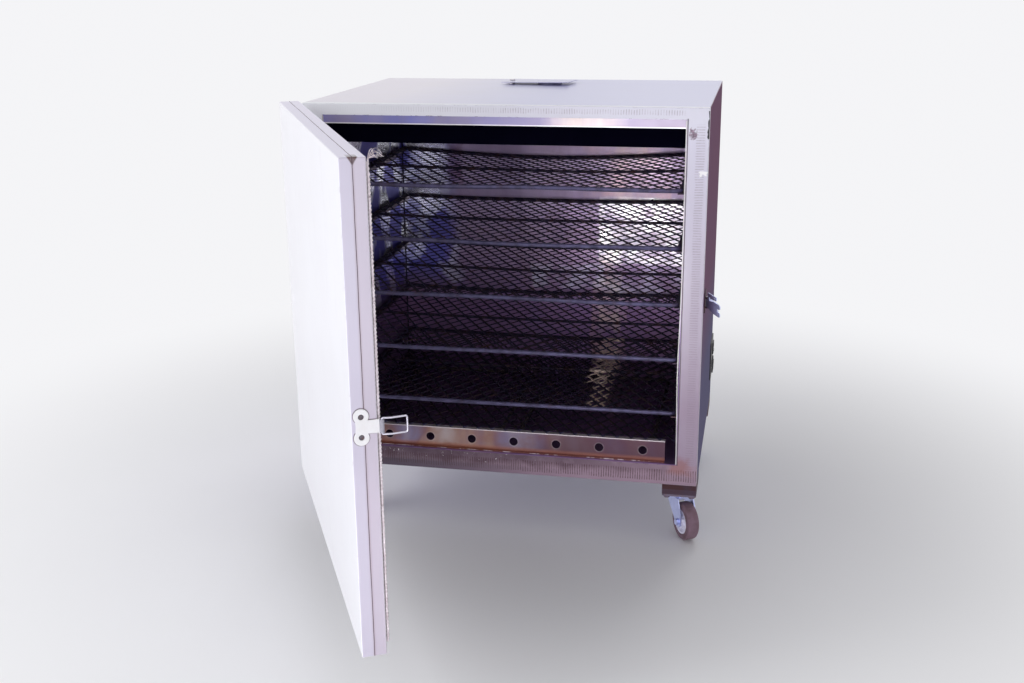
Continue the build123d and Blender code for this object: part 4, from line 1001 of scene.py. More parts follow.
finishOf = {
    "cabinet_paint": "sheetPaint", "door_paint": "doorPaint", "chamber_steel": "chamberSteel",
    "baffle_black": "blackPaintAndShade", "shelf_steel": "shelfSteel", "runner_steel": "runnerSteel",
    "guard_steel": "guardSteel", "insulation": "woolFill", "gasket": "braidedGlass",
    "element_sheath": "sheathSteel", "ceramic": "glazedCeramic", "black_plastic": "blackPlastic",
    "rocker_plastic": "rockerPlastic", "control_plate": "plateEnamel", "hinge_steel": "hingeSteel",
    "latch_zinc": "leverZinc", "wire_steel": "bailWire", "screw_zinc": "screwZinc",
    "bracket_steel": "bracketSteel", "caster_zinc": "casterZinc", "hub_plastic": "hubPlastic",
    "tyre_rubber": "castRubber",
}
ownFinish = {"front_frame": "framePaint", "header_strip": "headerSteel", "casing_right_side": "dulledPaint",
             "caster_plates": "dulledZinc"}
for subpart in frame["record"]["subparts"]:
    node = nodes[subpart["node"]]
    finish = ownFinish.get(subpart["node"], finishOf[subpart["material_slot"]])
    node.data.materials.clear()
    node.data.materials.append(materials[finish])
print("materials:", len(materials))


# mesh helpers

def addObject(name, data):
    thing = bpy.data.objects.new(name, data)
    bpy.context.scene.collection.objects.link(thing)
    return thing


def makePiece(name, mesh, finish, body, replaced=None, creaseAngle=35):
    bmesh.ops.recalc_face_normals(mesh, faces=mesh.faces)
    data = bpy.data.meshes.new(name)
    mesh.to_mesh(data)
    mesh.free()
    data.shade_smooth()
    data.set_sharp_from_angle(angle=math.radians(creaseAngle))
    data.materials.append(materials[finish])
    piece = addObject(name, data)
    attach(piece, body)
    if replaced:
        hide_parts(replaced)
    return piece


def addRing(mesh, points):
    return [mesh.verts.new(point) for point in points]


def bridgeRings(mesh, first, second):
    count = len(first)
    for k in range(count):
        mesh.faces.new((first[k], first[(k + 1) % count], second[(k + 1) % count], second[k]))


def joinRings(mesh, rings, closed=False):
    for first, second in zip(rings, rings[1:]):
        bridgeRings(mesh, first, second)
    if closed:
        bridgeRings(mesh, rings[-1], rings[0])
    else:
        mesh.faces.new(rings[0])
        mesh.faces.new(rings[-1])


def circle(count):
    return [2 * math.pi * k / count for k in range(count)]


def addTube(mesh, path, radius, up, sides=8, closed=False):
    rings = []
    count = len(path)
    for k, point in enumerate(path):
        before = path[(k - 1) % count] if closed or k > 0 else path[k]
        after = path[(k + 1) % count] if closed or k < count - 1 else path[k]
        along = (after - before).normalized()
        side = along.cross(up).normalized()
        lift = side.cross(along)
        ring = [point + radius * (math.cos(t) * side + math.sin(t) * lift) for t in circle(sides)]
        rings.append(addRing(mesh, ring))
    joinRings(mesh, rings, closed)


def addLathe(mesh, profile, center, axis, sides=48, shape=None):
    # profile holds (radius, height along the axis); shape may move each point
    turn = Vector((0, 0, 1)).rotation_difference(axis).to_matrix()
    rings = []
    for radius, height in profile:
        ring = [Vector((radius * math.cos(t), radius * math.sin(t), height)) for t in circle(sides)]
        if shape:
            ring = [shape(local) for local in ring]
        rings.append(addRing(mesh, [center + turn @ local for local in ring]))
    joinRings(mesh, rings)


def mirrored(profile):
    # the profile and its mirror image beyond height zero
    return profile + [(radius, -height) for radius, height in reversed(profile)]


def addBlock(mesh, place, size, turn=None):
    matrix = Matrix.Translation(place)
    if turn:
        matrix = matrix @ turn
    bmesh.ops.create_cube(mesh, size=1, matrix=matrix @ Matrix.Diagonal((*size, 1)))


def roundedLoop(halfX, lowY, highY, radius, step=0.03, turns=4):
    corners = [(halfX, lowY, -90), (halfX, highY, 0), (-halfX, highY, 90), (-halfX, lowY, 180)]
    points = []
    for x, y, start in corners:
        centerX = x - math.copysign(radius, x)
        centerY = y + radius if y == lowY else y - radius
        for k in range(turns + 1):
            t = math.radians(start + 90 * k / turns)
            points.append(Vector((centerX + radius * math.cos(t), centerY + radius * math.sin(t), 0)))
    full = []
    for k, point in enumerate(points):
        following = points[(k + 1) % len(points)]
        pieces = max(1, round((following - point).length / step))
        full += [point.lerp(following, j / pieces) for j in range(pieces)]
    return full


# shelves: expanded steel on a frame of rods

shelf = {
    "cellX": 0.0276,
    "cellY": 0.0484,
    "bondHalfX": 0.0017,
    "bondHalfY": 0.0035,
    "twist": 0.0007,
    "thickness": 0.0017,
    "rod": 0.004,
    "crossRod": 0.003,
    "corner": 0.008,
    "netRise": 0.0036,  # net above the rods' middle
    "sag": {1: 0.014, 2: 0.005, 3: 0.004, 4: 0.006, 5: 0.005},
}


def addExpandedSteel(mesh, lowX, highX, lowY, highY, surfaceZ):
    columns = 2 * round((highX - lowX) / shelf["cellX"])
    rows = 2 * round((highY - lowY) / shelf["cellY"])
    stepX = (highX - lowX) / columns
    stepY = (highY - lowY) / rows
    halfX, halfY = shelf["bondHalfX"], shelf["bondHalfY"]
    bonds = {}
    corners = ((0, 1), (1, 0), (0, -1), (-1, 0))
    for column in range(columns + 1):
        for row in range(rows + 1):
            if (column + row) % 2 == 0:
                x = lowX + column * stepX
                y = lowY + row * stepY
                ring = [(x + a * halfX, y + b * halfY, a * shelf["twist"]) for a, b in corners]
                bonds[column, row] = addRing(mesh, ring)
    faces = [mesh.faces.new(bond[::-1]) for bond in bonds.values()]
    for (column, row), bond in bonds.items():
        right = bonds.get((column + 1, row + 1))
        left = bonds.get((column - 1, row + 1))
        if right:
            faces.append(mesh.faces.new((bond[1], right[2], right[3], bond[0])))
        if left:
            faces.append(mesh.faces.new((bond[0], left[1], left[2], bond[3])))
    mesh.normal_update()
    made = bmesh.ops.solidify(mesh, geom=faces, thickness=shelf["thickness"])
    new = {vertex for item in made["geom"] if isinstance(item, bmesh.types.BMFace) for vertex in item.verts}
    new.update(vertex for face in faces for vertex in face.verts)
    for vertex in new:
        vertex.co.z += surfaceZ(vertex.co.x, vertex.co.y)


def makeShelf(number):
    low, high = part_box(f"shelf_{number}")
    rod = shelf["rod"]
    half = high.x - rod
    lowY = low.y + rod
    highY = high.y - rod
    level = low.z + rod
    sag = shelf["sag"][number]
    rng = random.Random(40 + number)
    waves = [(rng.uniform(6, 14), rng.uniform(0, 6), rng.uniform(0.0003, 0.0009)) for _ in range(3)]

    def dip(x, y):
        back = (y - lowY) / (highY - lowY)
        slack = -sag * (1 - (x / half) ** 2) * (0.10 + 0.90 * back)
        ripple = sum(size * math.sin(rate * (x + 0.7 * y) + phase) for rate, phase, size in waves)
        return slack + ripple * (1 - (x / half) ** 2)

    def sagging(path):
        return [Vector((point.x, point.y, level + dip(point.x, point.y))) for point in path]

    mesh = bmesh.new()
    up = Vector((0, 0, 1))
    addTube(mesh, sagging(roundedLoop(half, lowY, highY, shelf["corner"])), rod, up, 10, closed=True)
    cross = [Vector((half * (k / 12 - 1), (lowY + highY) / 2, 0)) for k in range(25)]
    addTube(mesh, sagging(cross), shelf["crossRod"], up, 8)
    addExpandedSteel(mesh, -half, half, lowY, highY, lambda x, y: level + shelf["netRise"] + dip(x, y))
    makePiece(f"shelf_net_{number}", mesh, "shelfSteel", f"shelf_{number}", f"shelf_{number}")


guardNet = {
    "inset": 0.002,
    "endInset": 0.004,
    "rise": 0.0015,
    "sag": 0.003,
    "legWide": 0.010,
    "legThick": 0.0015,
}


def makeGuardNet():
    low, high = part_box("heater_guard_net")
    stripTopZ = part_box("heater_guard_strip")[1].z
    half = high.x - guardNet["inset"]

    def level(x, y):
        slack = guardNet["sag"] * (1 - (x / half) ** 2) * math.sin((y - low.y) * 6.4)
        return stripTopZ + guardNet["rise"] - slack

    mesh = bmesh.new()
    addExpandedSteel(mesh, -half, half, low.y + guardNet["endInset"], high.y - guardNet["endInset"], level)
    wide, thick = guardNet["legWide"], guardNet["legThick"]
    height = stripTopZ - openingLowZ - guardNet["rise"]
    for side in (-1, 1):
        # an angle leg in each back corner
        for lengthX, lengthY in ((thick, wide), (wide, thick)):
            x = side * (half - lengthX / 2)
            y = high.y - guardNet["inset"] - lengthY / 2
            addBlock(mesh, (x, y, openingLowZ + guardNet["rise"] + height / 2), (lengthX, lengthY, height))
    makePiece("guard_net", mesh, "shelfSteel", "cabinet", "heater_guard_net")


for number in range(1, 6):
    makeShelf(number)
makeGuardNet()
print("shelves and guard net made")


# the braided gasket round the door, made for the closed door

gasket = {
    "width": 0.016,
    "depth": 0.0060,
    "inset": 0.005,  # from the frame's edge
    "pitch": 0.0058,
    "perPitch": 6,
    "sides": 8,
    "corner": 0.010,
}


def makeGasket():
    inset = gasket["inset"] + gasket["width"] / 2
    step = gasket["pitch"] / gasket["perPitch"]
    loop = roundedLoop(halfWidth - inset, baseZ + inset, topZ - inset, gasket["corner"], step, 6)
    rng = random.Random(5)
    middleY = door["innerY"] + gasket["depth"] / 2 + 0.0001
    mesh = bmesh.new()
    rings = []
    walked = 0.0
    wander = 0.0
    for k, point in enumerate(loop):
        before = loop[k - 1]
        after = loop[(k + 1) % len(loop)]
        walked += (point - before).length
        outward = Vector(((after - before).y, -(after - before).x, 0)).normalized()
        wander = 0.9 * wander + rng.uniform(-0.00009, 0.00009)
        ring = []
        for j in range(gasket["sides"]):
            t = 2 * math.pi * (j + 0.5) / gasket["sides"]
            across = math.copysign(abs(math.cos(t)) ** 0.55, math.cos(t))
            phase = 2 * math.pi * (walked / gasket["pitch"] + 0.35 * across)
            swell = 0.76 + 0.24 * math.cos(phase)
            wide = across * gasket["width"] / 2 * (0.94 + 0.06 * math.cos(phase)) + wander
            deep = math.copysign(abs(math.sin(t)) ** 0.7, math.sin(t)) * gasket["depth"] / 2 * swell
            place = Vector((point.x + outward.x * wide, middleY + deep, point.y + outward.y * wide))
            ring.append(doorTurn @ place)
        rings.append(addRing(mesh, ring))
    joinRings(mesh, rings, closed=True)
    makePiece("gasket_braid", mesh, "braidedGlass", "door", "door_gasket", 50)


def makeDoorSeam():
    # a bead of old filler in the joint between the door's two pans
    rng = random.Random(8)
    sunk = 0.0002
    loop = roundedLoop(halfWidth - sunk, door["lowZ"] + sunk, door["highZ"] - sunk, 0.002, 0.012)
    wave = 0.0
    path = []
    for point in loop:
        wave = 0.85 * wave + rng.uniform(-0.0002, 0.0002)
        path.append(doorTurn @ Vector((point.x, door["seamY"] + wave, point.y)))
    mesh = bmesh.new()
    addTube(mesh, path, 0.0005, doorTurn.to_3x3() @ Vector((0, 1, 0)), 6, closed=True)
    makePiece("door_seam_bead", mesh, "bracketSteel", "door")


fray = {
    "threads": 13,
    "radius": 0.00026,
    "points": 8,
    "inset": 0.008,  # root from the frame's right edge
    "forward": 0.0030,
    "below": 0.006,
    "clear": 0.0012,  # above the frame's top
}


def makeFray():
    # loose threads where the braid's ends meet: they rise inside the gap of the shut door
    # and fan out above it
    rng = random.Random(21)
    mesh = bmesh.new()
    start = Vector((halfWidth - fray["inset"], door["innerY"] + fray["forward"], topZ - fray["below"]))
    for _ in range(fray["threads"]):
        shift = (rng.uniform(-0.004, 0.004), rng.uniform(-0.001, 0.001), rng.uniform(-0.004, 0))
        root = start + Vector(shift)
        reach = rng.uniform(0.008, 0.021)
        lift = rng.uniform(0.0, 0.014)
        drift = rng.uniform(-0.014, 0.004)
        curl = rng.uniform(-0.008, 0.008)
        path = [doorTurn @ root]
        for k in range(fray["points"]):
            t = k / (fray["points"] - 1)
            across = root.x + drift * t + curl * math.sin(math.pi * t)
            rise = topZ + fray["clear"] + lift * math.sin(math.pi * 0.9 * t)
            path.append(doorTurn @ Vector((across, root.y + reach * t, rise)))
        addTube(mesh, path, fray["radius"], Vector((0.3, 0.2, 1)), 5)
    makePiece("gasket_fray", mesh, "braidedGlass", "door")


def strapOutline():
    # two lobes with a waist between them and a tongue to the knuckle, as (y, z) round the latch's height
    middle, lobe = strap["middle"], strap["lobe"]
    tongueEnd = strap["knuckle"][1] - 0.002
    join = math.degrees(math.asin((strap["lobeOffset"] - strap["tongue"]) / lobe))
    outline = [(tongueEnd, -strap["knuckleHalf"])]
    for side in (-1, 1):
        angles = [join - (join + 220) * k / 20 for k in range(21)]
        if side > 0:
            outline.append((middle - strap["waist"], 0))
            angles.reverse()
        for angle in angles:
            t = math.radians(angle)
            outline.append((middle + lobe * math.cos(t), side * (strap["lobeOffset"] - lobe * math.sin(t))))
    return outline + [(tongueEnd, strap["knuckleHalf"])]


def makeStrap():
    mesh = bmesh.new()

    def addLoop(points):
        ring = addRing(mesh, [(halfWidth + 0.0001, y, latchZ + z) for y, z in points])
        return [mesh.edges.new((ring[k - 1], ring[k])) for k in range(len(ring))]

    middle, hole = strap["middle"], strap["hole"]
    edges = addLoop(strapOutline())
    for side in (-1, 1):
        z = side * strap["screwOffset"]
        edges += addLoop([(middle + hole * math.cos(t), z + hole * math.sin(t)) for t in circle(20)])
    bmesh.ops.triangle_fill(mesh, use_beauty=True, edges=edges, normal=(1, 0, 0))
    mesh.normal_update()
    made = bmesh.ops.extrude_face_region(mesh, geom=mesh.faces[:])
    for item in made["geom"]:
        if isinstance(item, bmesh.types.BMVert):
            item.co.x += strap["thickness"]
    knuckleX, knuckleY = strap["knuckle"]
    radius, length, bore, chamfer = strap["knuckleRadius"], 2 * strap["knuckleHalf"], 0.0014, 0.0004
    profile = [(bore, 0), (radius - chamfer, 0), (radius, chamfer), (radius, length - chamfer),
               (radius - chamfer, length), (bore, length)]
    foot = Vector((knuckleX, knuckleY, latchZ - strap["knuckleHalf"]))
    addLathe(mesh, profile, foot, Vector((0, 0, 1)), 28)
    bmesh.ops.transform(mesh, matrix=doorTurn, verts=mesh.verts[:])
    piece = makePiece("latch_strap", mesh, "strapPaint", "door", "latch_plate")
    soften = piece.modifiers.new("soften", "BEVEL")
    soften.width = strap["rounding"]
    soften.segments = 3
    soften.limit_method = "ANGLE"
    soften.angle_limit = math.radians(50)


lip = {"width": 0.0019, "thickness": 0.0008, "inset": 0.0004, "endGap": 0.002, "bow": 0.0024, "steps": 24}


def makeJambTrim():
    # bright lips of the liner at both sides of the mouth, both sprung away low down
    mesh = bmesh.new()
    nearY = frontY + lip["inset"]
    farY = nearY + lip["thickness"]
    for side in (-1, 1):
        rings = []
        for k in range(lip["steps"] + 1):
            t = k / lip["steps"]
            z = openingLowZ + lip["endGap"] + t * (openingHighZ - openingLowZ - 2 * lip["endGap"])
            bow = lip["bow"] * math.sin(math.pi * min(1, t / 0.55)) ** 2
            outer = side * (openingHalf - lip["inset"] - bow)
            inner = outer - side * lip["width"]
            ring = [(inner, nearY, z), (outer, nearY, z), (outer, farY, z), (inner, farY, z)]
            rings.append(addRing(mesh, ring))
        joinRings(mesh, rings)
    makePiece("mouth_trim", mesh, "trimSteel", "cabinet")


makeGasket()
makeDoorSeam()
makeFray()
makeStrap()
makeJambTrim()
print("door trim made")


# screws with a cross recess

screw = {
    "radius": 0.004,
    "rise": 0.0022,
    "sunk": 0.0006,
    "rimHigh": 0.0004,
    "steps": 9,
    "slotHalf": 0.00055,
    "slotReach": 0.0023,
    "slotDeep": 0.0011,
}
screwRows = {
    "sideInset": 0.012,
    "endInset": 0.020,
    "topInset": 0.014,
    "hinges": (0.120, 0.602),  # above the cabinet's lower edge
    "hingeHalf": 0.025,
    "leafOut": 0.002,
    "bodyLeaf": 0.020,
    "doorLeaf": 0.028,
}


def addScrew(mesh, center, axis, turn=0.4, radius=None):
    radius = radius or screw["radius"]
    low, high = screw["rimHigh"], screw["rise"]
    profile = [(radius, -screw["sunk"]), (radius, low)]
    for k in range(1, screw["steps"]):
        t = k / screw["steps"]
        profile.append((radius * (1 - t), low + (high - low) * math.sin(math.pi / 2 * min(1, 2 * t))))
    profile.append((0.00006, high))

    def recess(local):
        u = local.x * math.cos(turn) + local.y * math.sin(turn)
        v = local.y * math.cos(turn) - local.x * math.sin(turn)
        reach = max(abs(u), abs(v))
        if min(abs(u), abs(v)) < screw["slotHalf"] and reach < screw["slotReach"] and local.z > 0.001:
            local.z -= screw["slotDeep"]
        return local

    addLathe(mesh, profile, center, axis, 40, recess)


def makeScrews():
    rng = random.Random(12)
    mesh = bmesh.new()
    leftward = Vector((-1, 0, 0))
    endInset, sideX = screwRows["endInset"], halfWidth - screwRows["sideInset"]
    rows = [baseZ + endInset, (baseZ + topZ) / 2, topZ - endInset]
    places = [(x, z) for z in rows for x in (-sideX, sideX)]
    places += [(x, topZ - screwRows["topInset"]) for x in (-halfWidth / 3, halfWidth / 3)]
    for x, z in places:
        addScrew(mesh, Vector((x, backY, z)), Vector((0, 1, 0)), rng.uniform(0, 1.5))
    leafX = -halfWidth - screwRows["leafOut"]
    offsets = (-screwRows["hingeHalf"], screwRows["hingeHalf"])
    hinges = [baseZ + height + offset for height in screwRows["hinges"] for offset in offsets]
    for z in hinges:
        addScrew(mesh, Vector((leafX, frontY + screwRows["bodyLeaf"], z)), leftward, rng.uniform(0, 1.5))
    makePiece("casing_screw_heads", mesh, "screwZinc", "cabinet", "casing_screws")

    mesh = bmesh.new()
    turned = doorTurn.to_3x3()
    for z in hinges:
        place = doorTurn @ Vector((leafX, frontY - screwRows["doorLeaf"], z))
        addScrew(mesh, place, turned @ leftward, rng.uniform(0, 1.5))
    makePiece("door_screw_heads", mesh, "screwZinc", "door", "door_screws")

    mesh = bmesh.new()
    for side in (-1, 1):
        z = latchZ + side * strap["screwOffset"]
        place = doorTurn @ Vector((halfWidth - strap["screwSunk"], strap["middle"], z))
        addScrew(mesh, place, turned @ Vector((1, 0, 0)), 0.5, strap["screwRadius"])
    makePiece("strap_screws", mesh, "sunkScrew", "door")


makeScrews()
print("screws made")


# the loose vent plate, a little warped

vent = {
    "length": 0.147,
    "width": 0.086,
    "corner": 0.004,
    "pastPivot": 0.012,
    "seatGap": 0.0005,
    "turn": -7,
    "warp": 0.0016,
    "ripple": 0.0006,
    "sheet": 0.0013,
    "columns": 36,
    "rows": 22,
}


def makeVentFlap():
    pivot = Vector(joints["vent_plate_pivot"]["pos_m"])
    length, width, corner = vent["length"], vent["width"], vent["corner"]
    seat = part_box("vent_collar")[1].z + vent["seatGap"]
    turned = Matrix.Rotation(math.radians(vent["turn"]), 4, "Z")
    turn = Matrix.Translation(pivot) @ turned @ Matrix.Translation(-pivot)
    mesh = bmesh.new()
    grid = {}
    for i in range(vent["columns"] + 1):
        for j in range(vent["rows"] + 1):
            x = i / vent["columns"] * length
            y = (j / vent["rows"] - 0.5) * width
            edgeX = min(x, length - x)
            edgeY = width / 2 - abs(y)
            if edgeX < corner and edgeY < corner:
                excess = max(0, math.hypot(corner - edgeX, corner - edgeY) - corner)
                y -= math.copysign(excess, y)
            lift = vent["warp"] * (x / length) ** 2 * (0.5 - y / width)
            lift += vent["ripple"] * math.sin(9 * y / width)
            lift *= min(1, x / 0.03)
            place = Vector((pivot.x - vent["pastPivot"] + x, pivot.y + y, seat + max(0, lift)))
            grid[i, j] = mesh.verts.new(turn @ place)
    faces = []
    for i in range(vent["columns"]):
        for j in range(vent["rows"]):
            faces.append(mesh.faces.new((grid[i, j], grid[i + 1, j], grid[i + 1, j + 1], grid[i, j + 1])))
    mesh.normal_update()
    bmesh.ops.solidify(mesh, geom=faces, thickness=-vent["sheet"])
    makePiece("vent_flap", mesh, "flapPaint", "vent_cover", "vent_plate", 60)


makeVentFlap()
print("vent plate made")


# wheels: a moulded hub and a cast tyre

wheel = {
    "radius": 0.0375,
    "width": 0.026,
    "shoulder": 0.0055,
    "hub": 0.025,
    "bore": 0.0042,
    "boss": 0.008,
    "bossWidth": 0.029,
    "ribs": 5,
    "ribDepth": 0.0022,
}


def makeTyre(place, center, axis):
    half, hub, shoulder = wheel["width"] / 2, wheel["hub"], wheel["shoulder"]
    profile = [(hub + 0.0004, -half + 0.0016), (hub + 0.0012, -half + 0.0004), (hub + 0.0045, -half),
               (hub + 0.006, -half + 0.0007), (hub + 0.0076, -half + 0.0004)]
    for k in range(7):
        t = math.pi / 2 * k / 6
        radius = wheel["radius"] - shoulder + shoulder * math.sin(t)
        profile.append((radius, -half + 0.0005 + shoulder * (1 - math.cos(t))))
    mesh = bmesh.new()
    addLathe(mesh, mirrored(profile), center, axis, 72)
    bmesh.ops.delete(mesh, geom=[face for face in mesh.faces if len(face.verts) > 4], context="FACES_ONLY")
    bmesh.ops.bridge_loops(mesh, edges=[edge for edge in mesh.edges if edge.is_boundary])
    makePiece(f"tyre_{place}", mesh, "castRubber", f"wheel_{place}", f"wheel_{place}", 40)


def makeHub(place, center, axis):
    half, rim, boss, bossHalf = wheel["width"] / 2, wheel["hub"], wheel["boss"], wheel["bossWidth"] / 2
    profile = [(wheel["bore"], -bossHalf), (boss - 0.001, -bossHalf), (boss, -bossHalf + 0.001),
               (boss + 0.001, -half + 0.0045), (boss + 0.003, -half + 0.0052), (rim - 0.006, -half + 0.0050),
               (rim - 0.0042, -half + 0.0040), (rim - 0.0036, -half + 0.0014), (rim - 0.0024, -half + 0.0010),
               (rim - 0.0002, -half + 0.0012)]

    def ribbed(local):
        if boss + 0.002 < math.hypot(local.x, local.y) < rim - 0.005:
            ribs = 0.5 + 0.5 * math.cos(wheel["ribs"] * math.atan2(local.y, local.x))
            local.z -= math.copysign(wheel["ribDepth"] * (1 - min(1, 2.2 * ribs)), local.z)
        return local

    mesh = bmesh.new()
    addLathe(mesh, mirrored(profile), center, axis, 80, ribbed)
    makePiece(f"hub_{place}", mesh, "hubPlastic", f"wheel_{place}", None, 40)


for place in casterNames:
    joint = joints[f"roll_{place}"]
    center, axis = Vector(joint["pos_m"]), Vector(joint["axis"]).normalized()
    makeTyre(place, center, axis)
    makeHub(place, center, axis)
print("wheels made")


# controls: a fluted knob and plain numbers round it

dial = {
    "radius": 0.0155,
    "capSunk": 0.0026,  # below the control plate's face
    "capStands": 0.0008,
    "shaft": 0.003,
    "pointer": (0.0012, 0.0014, 0.009),
    "pointerRise": 0.0075,
    "markRise": 0.003,
    "flutes": 18,
    "start": 225,
    "sweep": 270,
    "ticks": 31,
    "tickInner": 0.0212,
    "tickOuter": 0.0230,
    "longTickOuter": 0.0245,
    "numbers": 7,
    "numberStep": 50,
    "numberReach": 0.0283,
    "size": 0.0046,
}


def dialAngle(k, count):
    return math.radians(dial["start"] - dial["sweep"] * k / (count - 1))


def makeKnob():
    center = Vector(joints["temperature_turn"]["pos_m"])
    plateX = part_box("control_plate")[1].x
    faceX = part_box("thermostat_knob")[0].x
    capLow = plateX - dial["capSunk"]
    depth = plateX + dial["capStands"] - capLow
    axis = Vector((1, 0, 0))
    radius = dial["radius"]
    profile = [(radius, 0), (radius, 0.0010), (radius - 0.002, 0.0014), (radius - 0.0026, depth - 0.0008),
               (radius - 0.0034, depth), (0.004, depth), (0.0001, depth)]

    def fluted(local):
        if radius - 0.0036 < math.hypot(local.x, local.y) < radius - 0.001 and local.z > 0.0012:
            t = math.atan2(local.y, local.x)
            shrink = 1 - 0.05 * max(0, math.cos(dial["flutes"] * t)) ** 2
            local.x *= shrink
            local.y *= shrink
        return local

    mesh = bmesh.new()
    addLathe(mesh, profile, Vector((capLow, center.y, center.z)), axis, 108, fluted)
    addBlock(mesh, (capLow + depth, center.y, center.z + dial["pointerRise"]), dial["pointer"])
    shaft = [(dial["shaft"], 0), (dial["shaft"], capLow - faceX)]
    addLathe(mesh, shaft, Vector((faceX, center.y, center.z)), axis, 24)
    makePiece("dial_knob", mesh, "blackPlastic", "temperature_knob", "thermostat_knob", 30)
    return center


def makeDialMarks(center):
    markX = halfWidth + dial["markRise"]

    def onDial(rise, reach, t):
        return (markX + rise, center.y + reach * math.cos(t), center.z + reach * math.sin(t))

    mesh = bmesh.new()
    inner = dial["tickInner"]
    for k in range(dial["ticks"]):
        t = dialAngle(k, dial["ticks"])
        outer = dial["longTickOuter"] if k % 5 == 0 else dial["tickOuter"]
        middle = onDial(0.0001, (inner + outer) / 2, t)
        addBlock(mesh, middle, (0.0004, outer - inner, 0.0005), Matrix.Rotation(t, 4, "X"))
    makePiece("dial_ticks", mesh, "markPaint", "cabinet")
    for k in range(dial["numbers"]):
        curve = bpy.data.curves.new(f"dial_number_{k}", "FONT")
        curve.body = str(dial["numberStep"] * k)
        curve.size = dial["size"]
        curve.extrude = 0.0001
        curve.align_x = "CENTER"
        curve.align_y = "CENTER"
        curve.materials.append(materials["markPaint"])
        number = addObject(f"dial_number_{k}", curve)
        number.location = onDial(0.0002, dial["numberReach"], dialAngle(k, dial["numbers"]))
        number.rotation_euler = (math.pi / 2, 0, math.pi / 2)
        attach(number, "cabinet")


makeDialMarks(makeKnob())
print("controls made")


# light, floor and camera

studio = {
    "floor": (0.86, 0.86, 0.88),
    "backdrop": (0.91, 0.91, 0.93),
    "fadeStart": 0.5,
    "fadeEnd": 1.7,
    "floorReach": 40,
    "ambient": 0.45,
    "lamps": {
        "key": {"place": (-3.6, -2.0, 2.3), "aim": (0, -0.5, 0.5), "size": (2.2, 2.2), "power": 76},
        "fill": {"place": (1.4, -3.9, 1.7), "aim": (0, 0, 0.5), "size": (2.6, 2.6), "power": 9},
        "rim": {"place": (0.6, 2.8, 3.2), "aim": (0, 0, 0.6), "size": (2.2, 2.2), "power": 36},
        "low": {"place": (-0.05, -2.35, 0.22), "aim": (0, 0.2, 0.62), "size": (3.0, 0.9), "power": 22,
                "color": (0.91, 0.92, 1.0)},
        "glint": {"place": (0.0725, -1.5, 0.156), "aim": (0.2235, 0.229, 0.508), "size": (0.40, 0.30),
                  "power": 0.08, "spread": 20},
        "streak": {"place": (0.0067, -1.5, 0.42), "aim": (0.19, 0.229, 0.69), "size": (0.035, 0.30),
                   "power": 0.02, "spread": 20},
    },
}


def aimed(place, aim):
    direction = Vector(aim) - Vector(place)
    return Matrix.Translation(place) @ direction.to_track_quat("-Z", "Y").to_matrix().to_4x4()


def cameraSees(tree):
    # 1 for what the camera sees itself, in a reflection or through glass; 0 for what only lights the oven
    path = addNode(tree, "LightPath").outputs
    return strongest(tree, path["Is Camera Ray"], path["Is Glossy Ray"], path["Is Transmission Ray"]), path


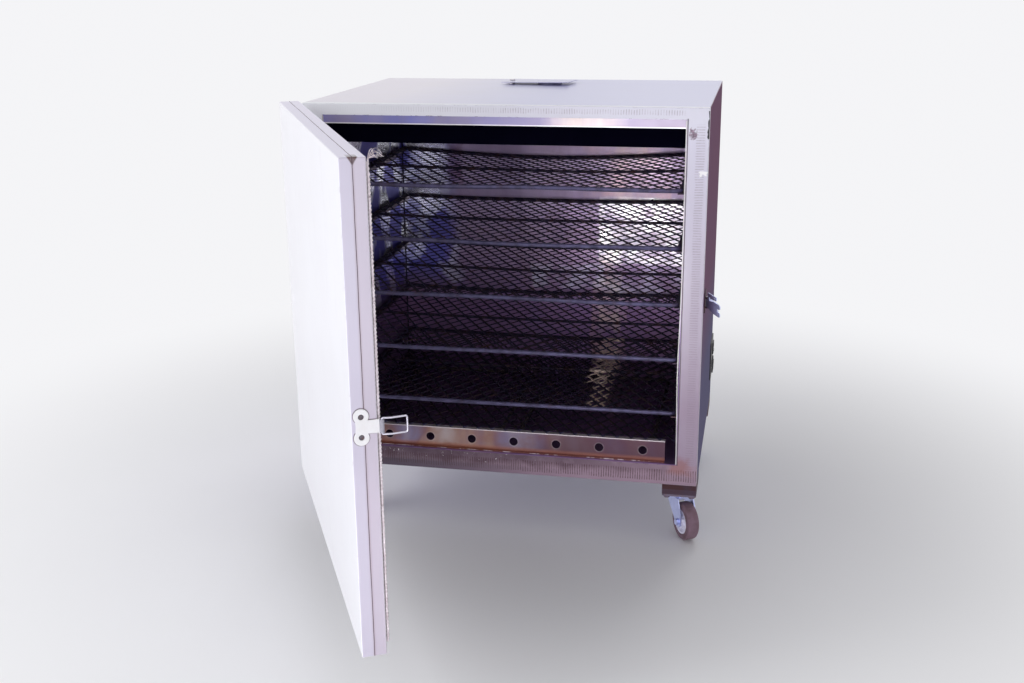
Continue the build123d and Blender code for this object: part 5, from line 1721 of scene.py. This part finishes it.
def floorTone():
    # plain near the oven, where its shadow falls, and fading into the backdrop further off
    material, tree = startMaterial("floorTone")
    tone = effect(tree, "grain", Scale=3.0)
    tone = mixColor(tree, tone, studio["floor"], tuple(0.97 * part for part in studio["floor"]))
    finishMaterial(material, Base_Color=tone, Roughness=0.85)
    shader = tree.nodes["Principled BSDF"]
    place = framePlace(tree)
    away = plus(tree, maths(tree, "POWER", place[0], 2.0), maths(tree, "POWER", place[1], 2.0))
    away = maths(tree, "SQRT", away)
    span = {"Value": away, "From Min": studio["fadeStart"], "From Max": studio["fadeEnd"]}
    faded = addNode(tree, "MapRange", span, interpolation_type="SMOOTHSTEP").outputs[0]
    seen, path = cameraSees(tree)
    faded = maths(tree, "MAXIMUM", faded, times(tree, 0.5, path["Is Glossy Ray"]))
    glow = addNode(tree, "Emission", {"Color": studio["backdrop"], "Strength": 1.0})
    layers = {0: times(tree, seen, faded), 1: shader.outputs[0], 2: glow.outputs[0]}
    mixed = addNode(tree, "MixShader", layers)
    tree.links.new(mixed.outputs[0], tree.nodes["Material Output"].inputs["Surface"])
    return material


def makeFloor():
    reach = studio["floorReach"]
    data = bpy.data.meshes.new("floor")
    corners = [(-reach, -reach, 0), (reach, -reach, 0), (reach, reach, 0), (-reach, reach, 0)]
    data.from_pydata(corners, [], [(0, 1, 2, 3)])
    data.materials.append(floorTone())
    addObject("floor", data)


def makeLamps():
    for name, lamp in studio["lamps"].items():
        light = bpy.data.lights.new(name, "AREA")
        light.shape = "RECTANGLE"
        light.size, light.size_y = lamp["size"]
        light.energy = lamp["power"]
        light.color = lamp.get("color", (1, 1, 1))
        light.spread = math.radians(lamp.get("spread", 180))
        holder = addObject(name, light)
        holder.matrix_world = aimed(lamp["place"], lamp["aim"])
        holder.visible_camera = False


def makeBackdrop():
    world = bpy.data.worlds.new("studio")
    bpy.context.scene.world = world
    world.use_nodes = True
    tree = world.node_tree
    background = tree.nodes["Background"]
    background.inputs["Color"].default_value = (*studio["backdrop"], 1)
    strength = mixValue(tree, cameraSees(tree)[0], studio["ambient"], 1.0)
    tree.links.new(strength, background.inputs["Strength"])


photoView = {
    "place": (0.47545, -2.49497, 1.07801),
    "yaw": 0.203,
    "pitch": 0.293,
    "roll": -0.009,
    "lens": 43.18,
}


def makeCamera():
    data = bpy.data.cameras.new("photoView")
    data.sensor_width = 36
    data.lens = photoView["lens"]
    camera = addObject("photoView", data)
    turned = Matrix.Rotation(photoView["yaw"], 4, "Z")
    tilted = Matrix.Rotation(math.pi / 2 - photoView["pitch"], 4, "X")
    rolled = Matrix.Rotation(photoView["roll"], 4, "Z")
    camera.matrix_world = Matrix.Translation(photoView["place"]) @ (turned @ tilted @ rolled)
    bpy.context.scene.camera = camera


makeFloor()
makeLamps()
makeBackdrop()
makeCamera()
bpy.context.scene.view_settings.view_transform = "Standard"
bpy.context.view_layer.update()
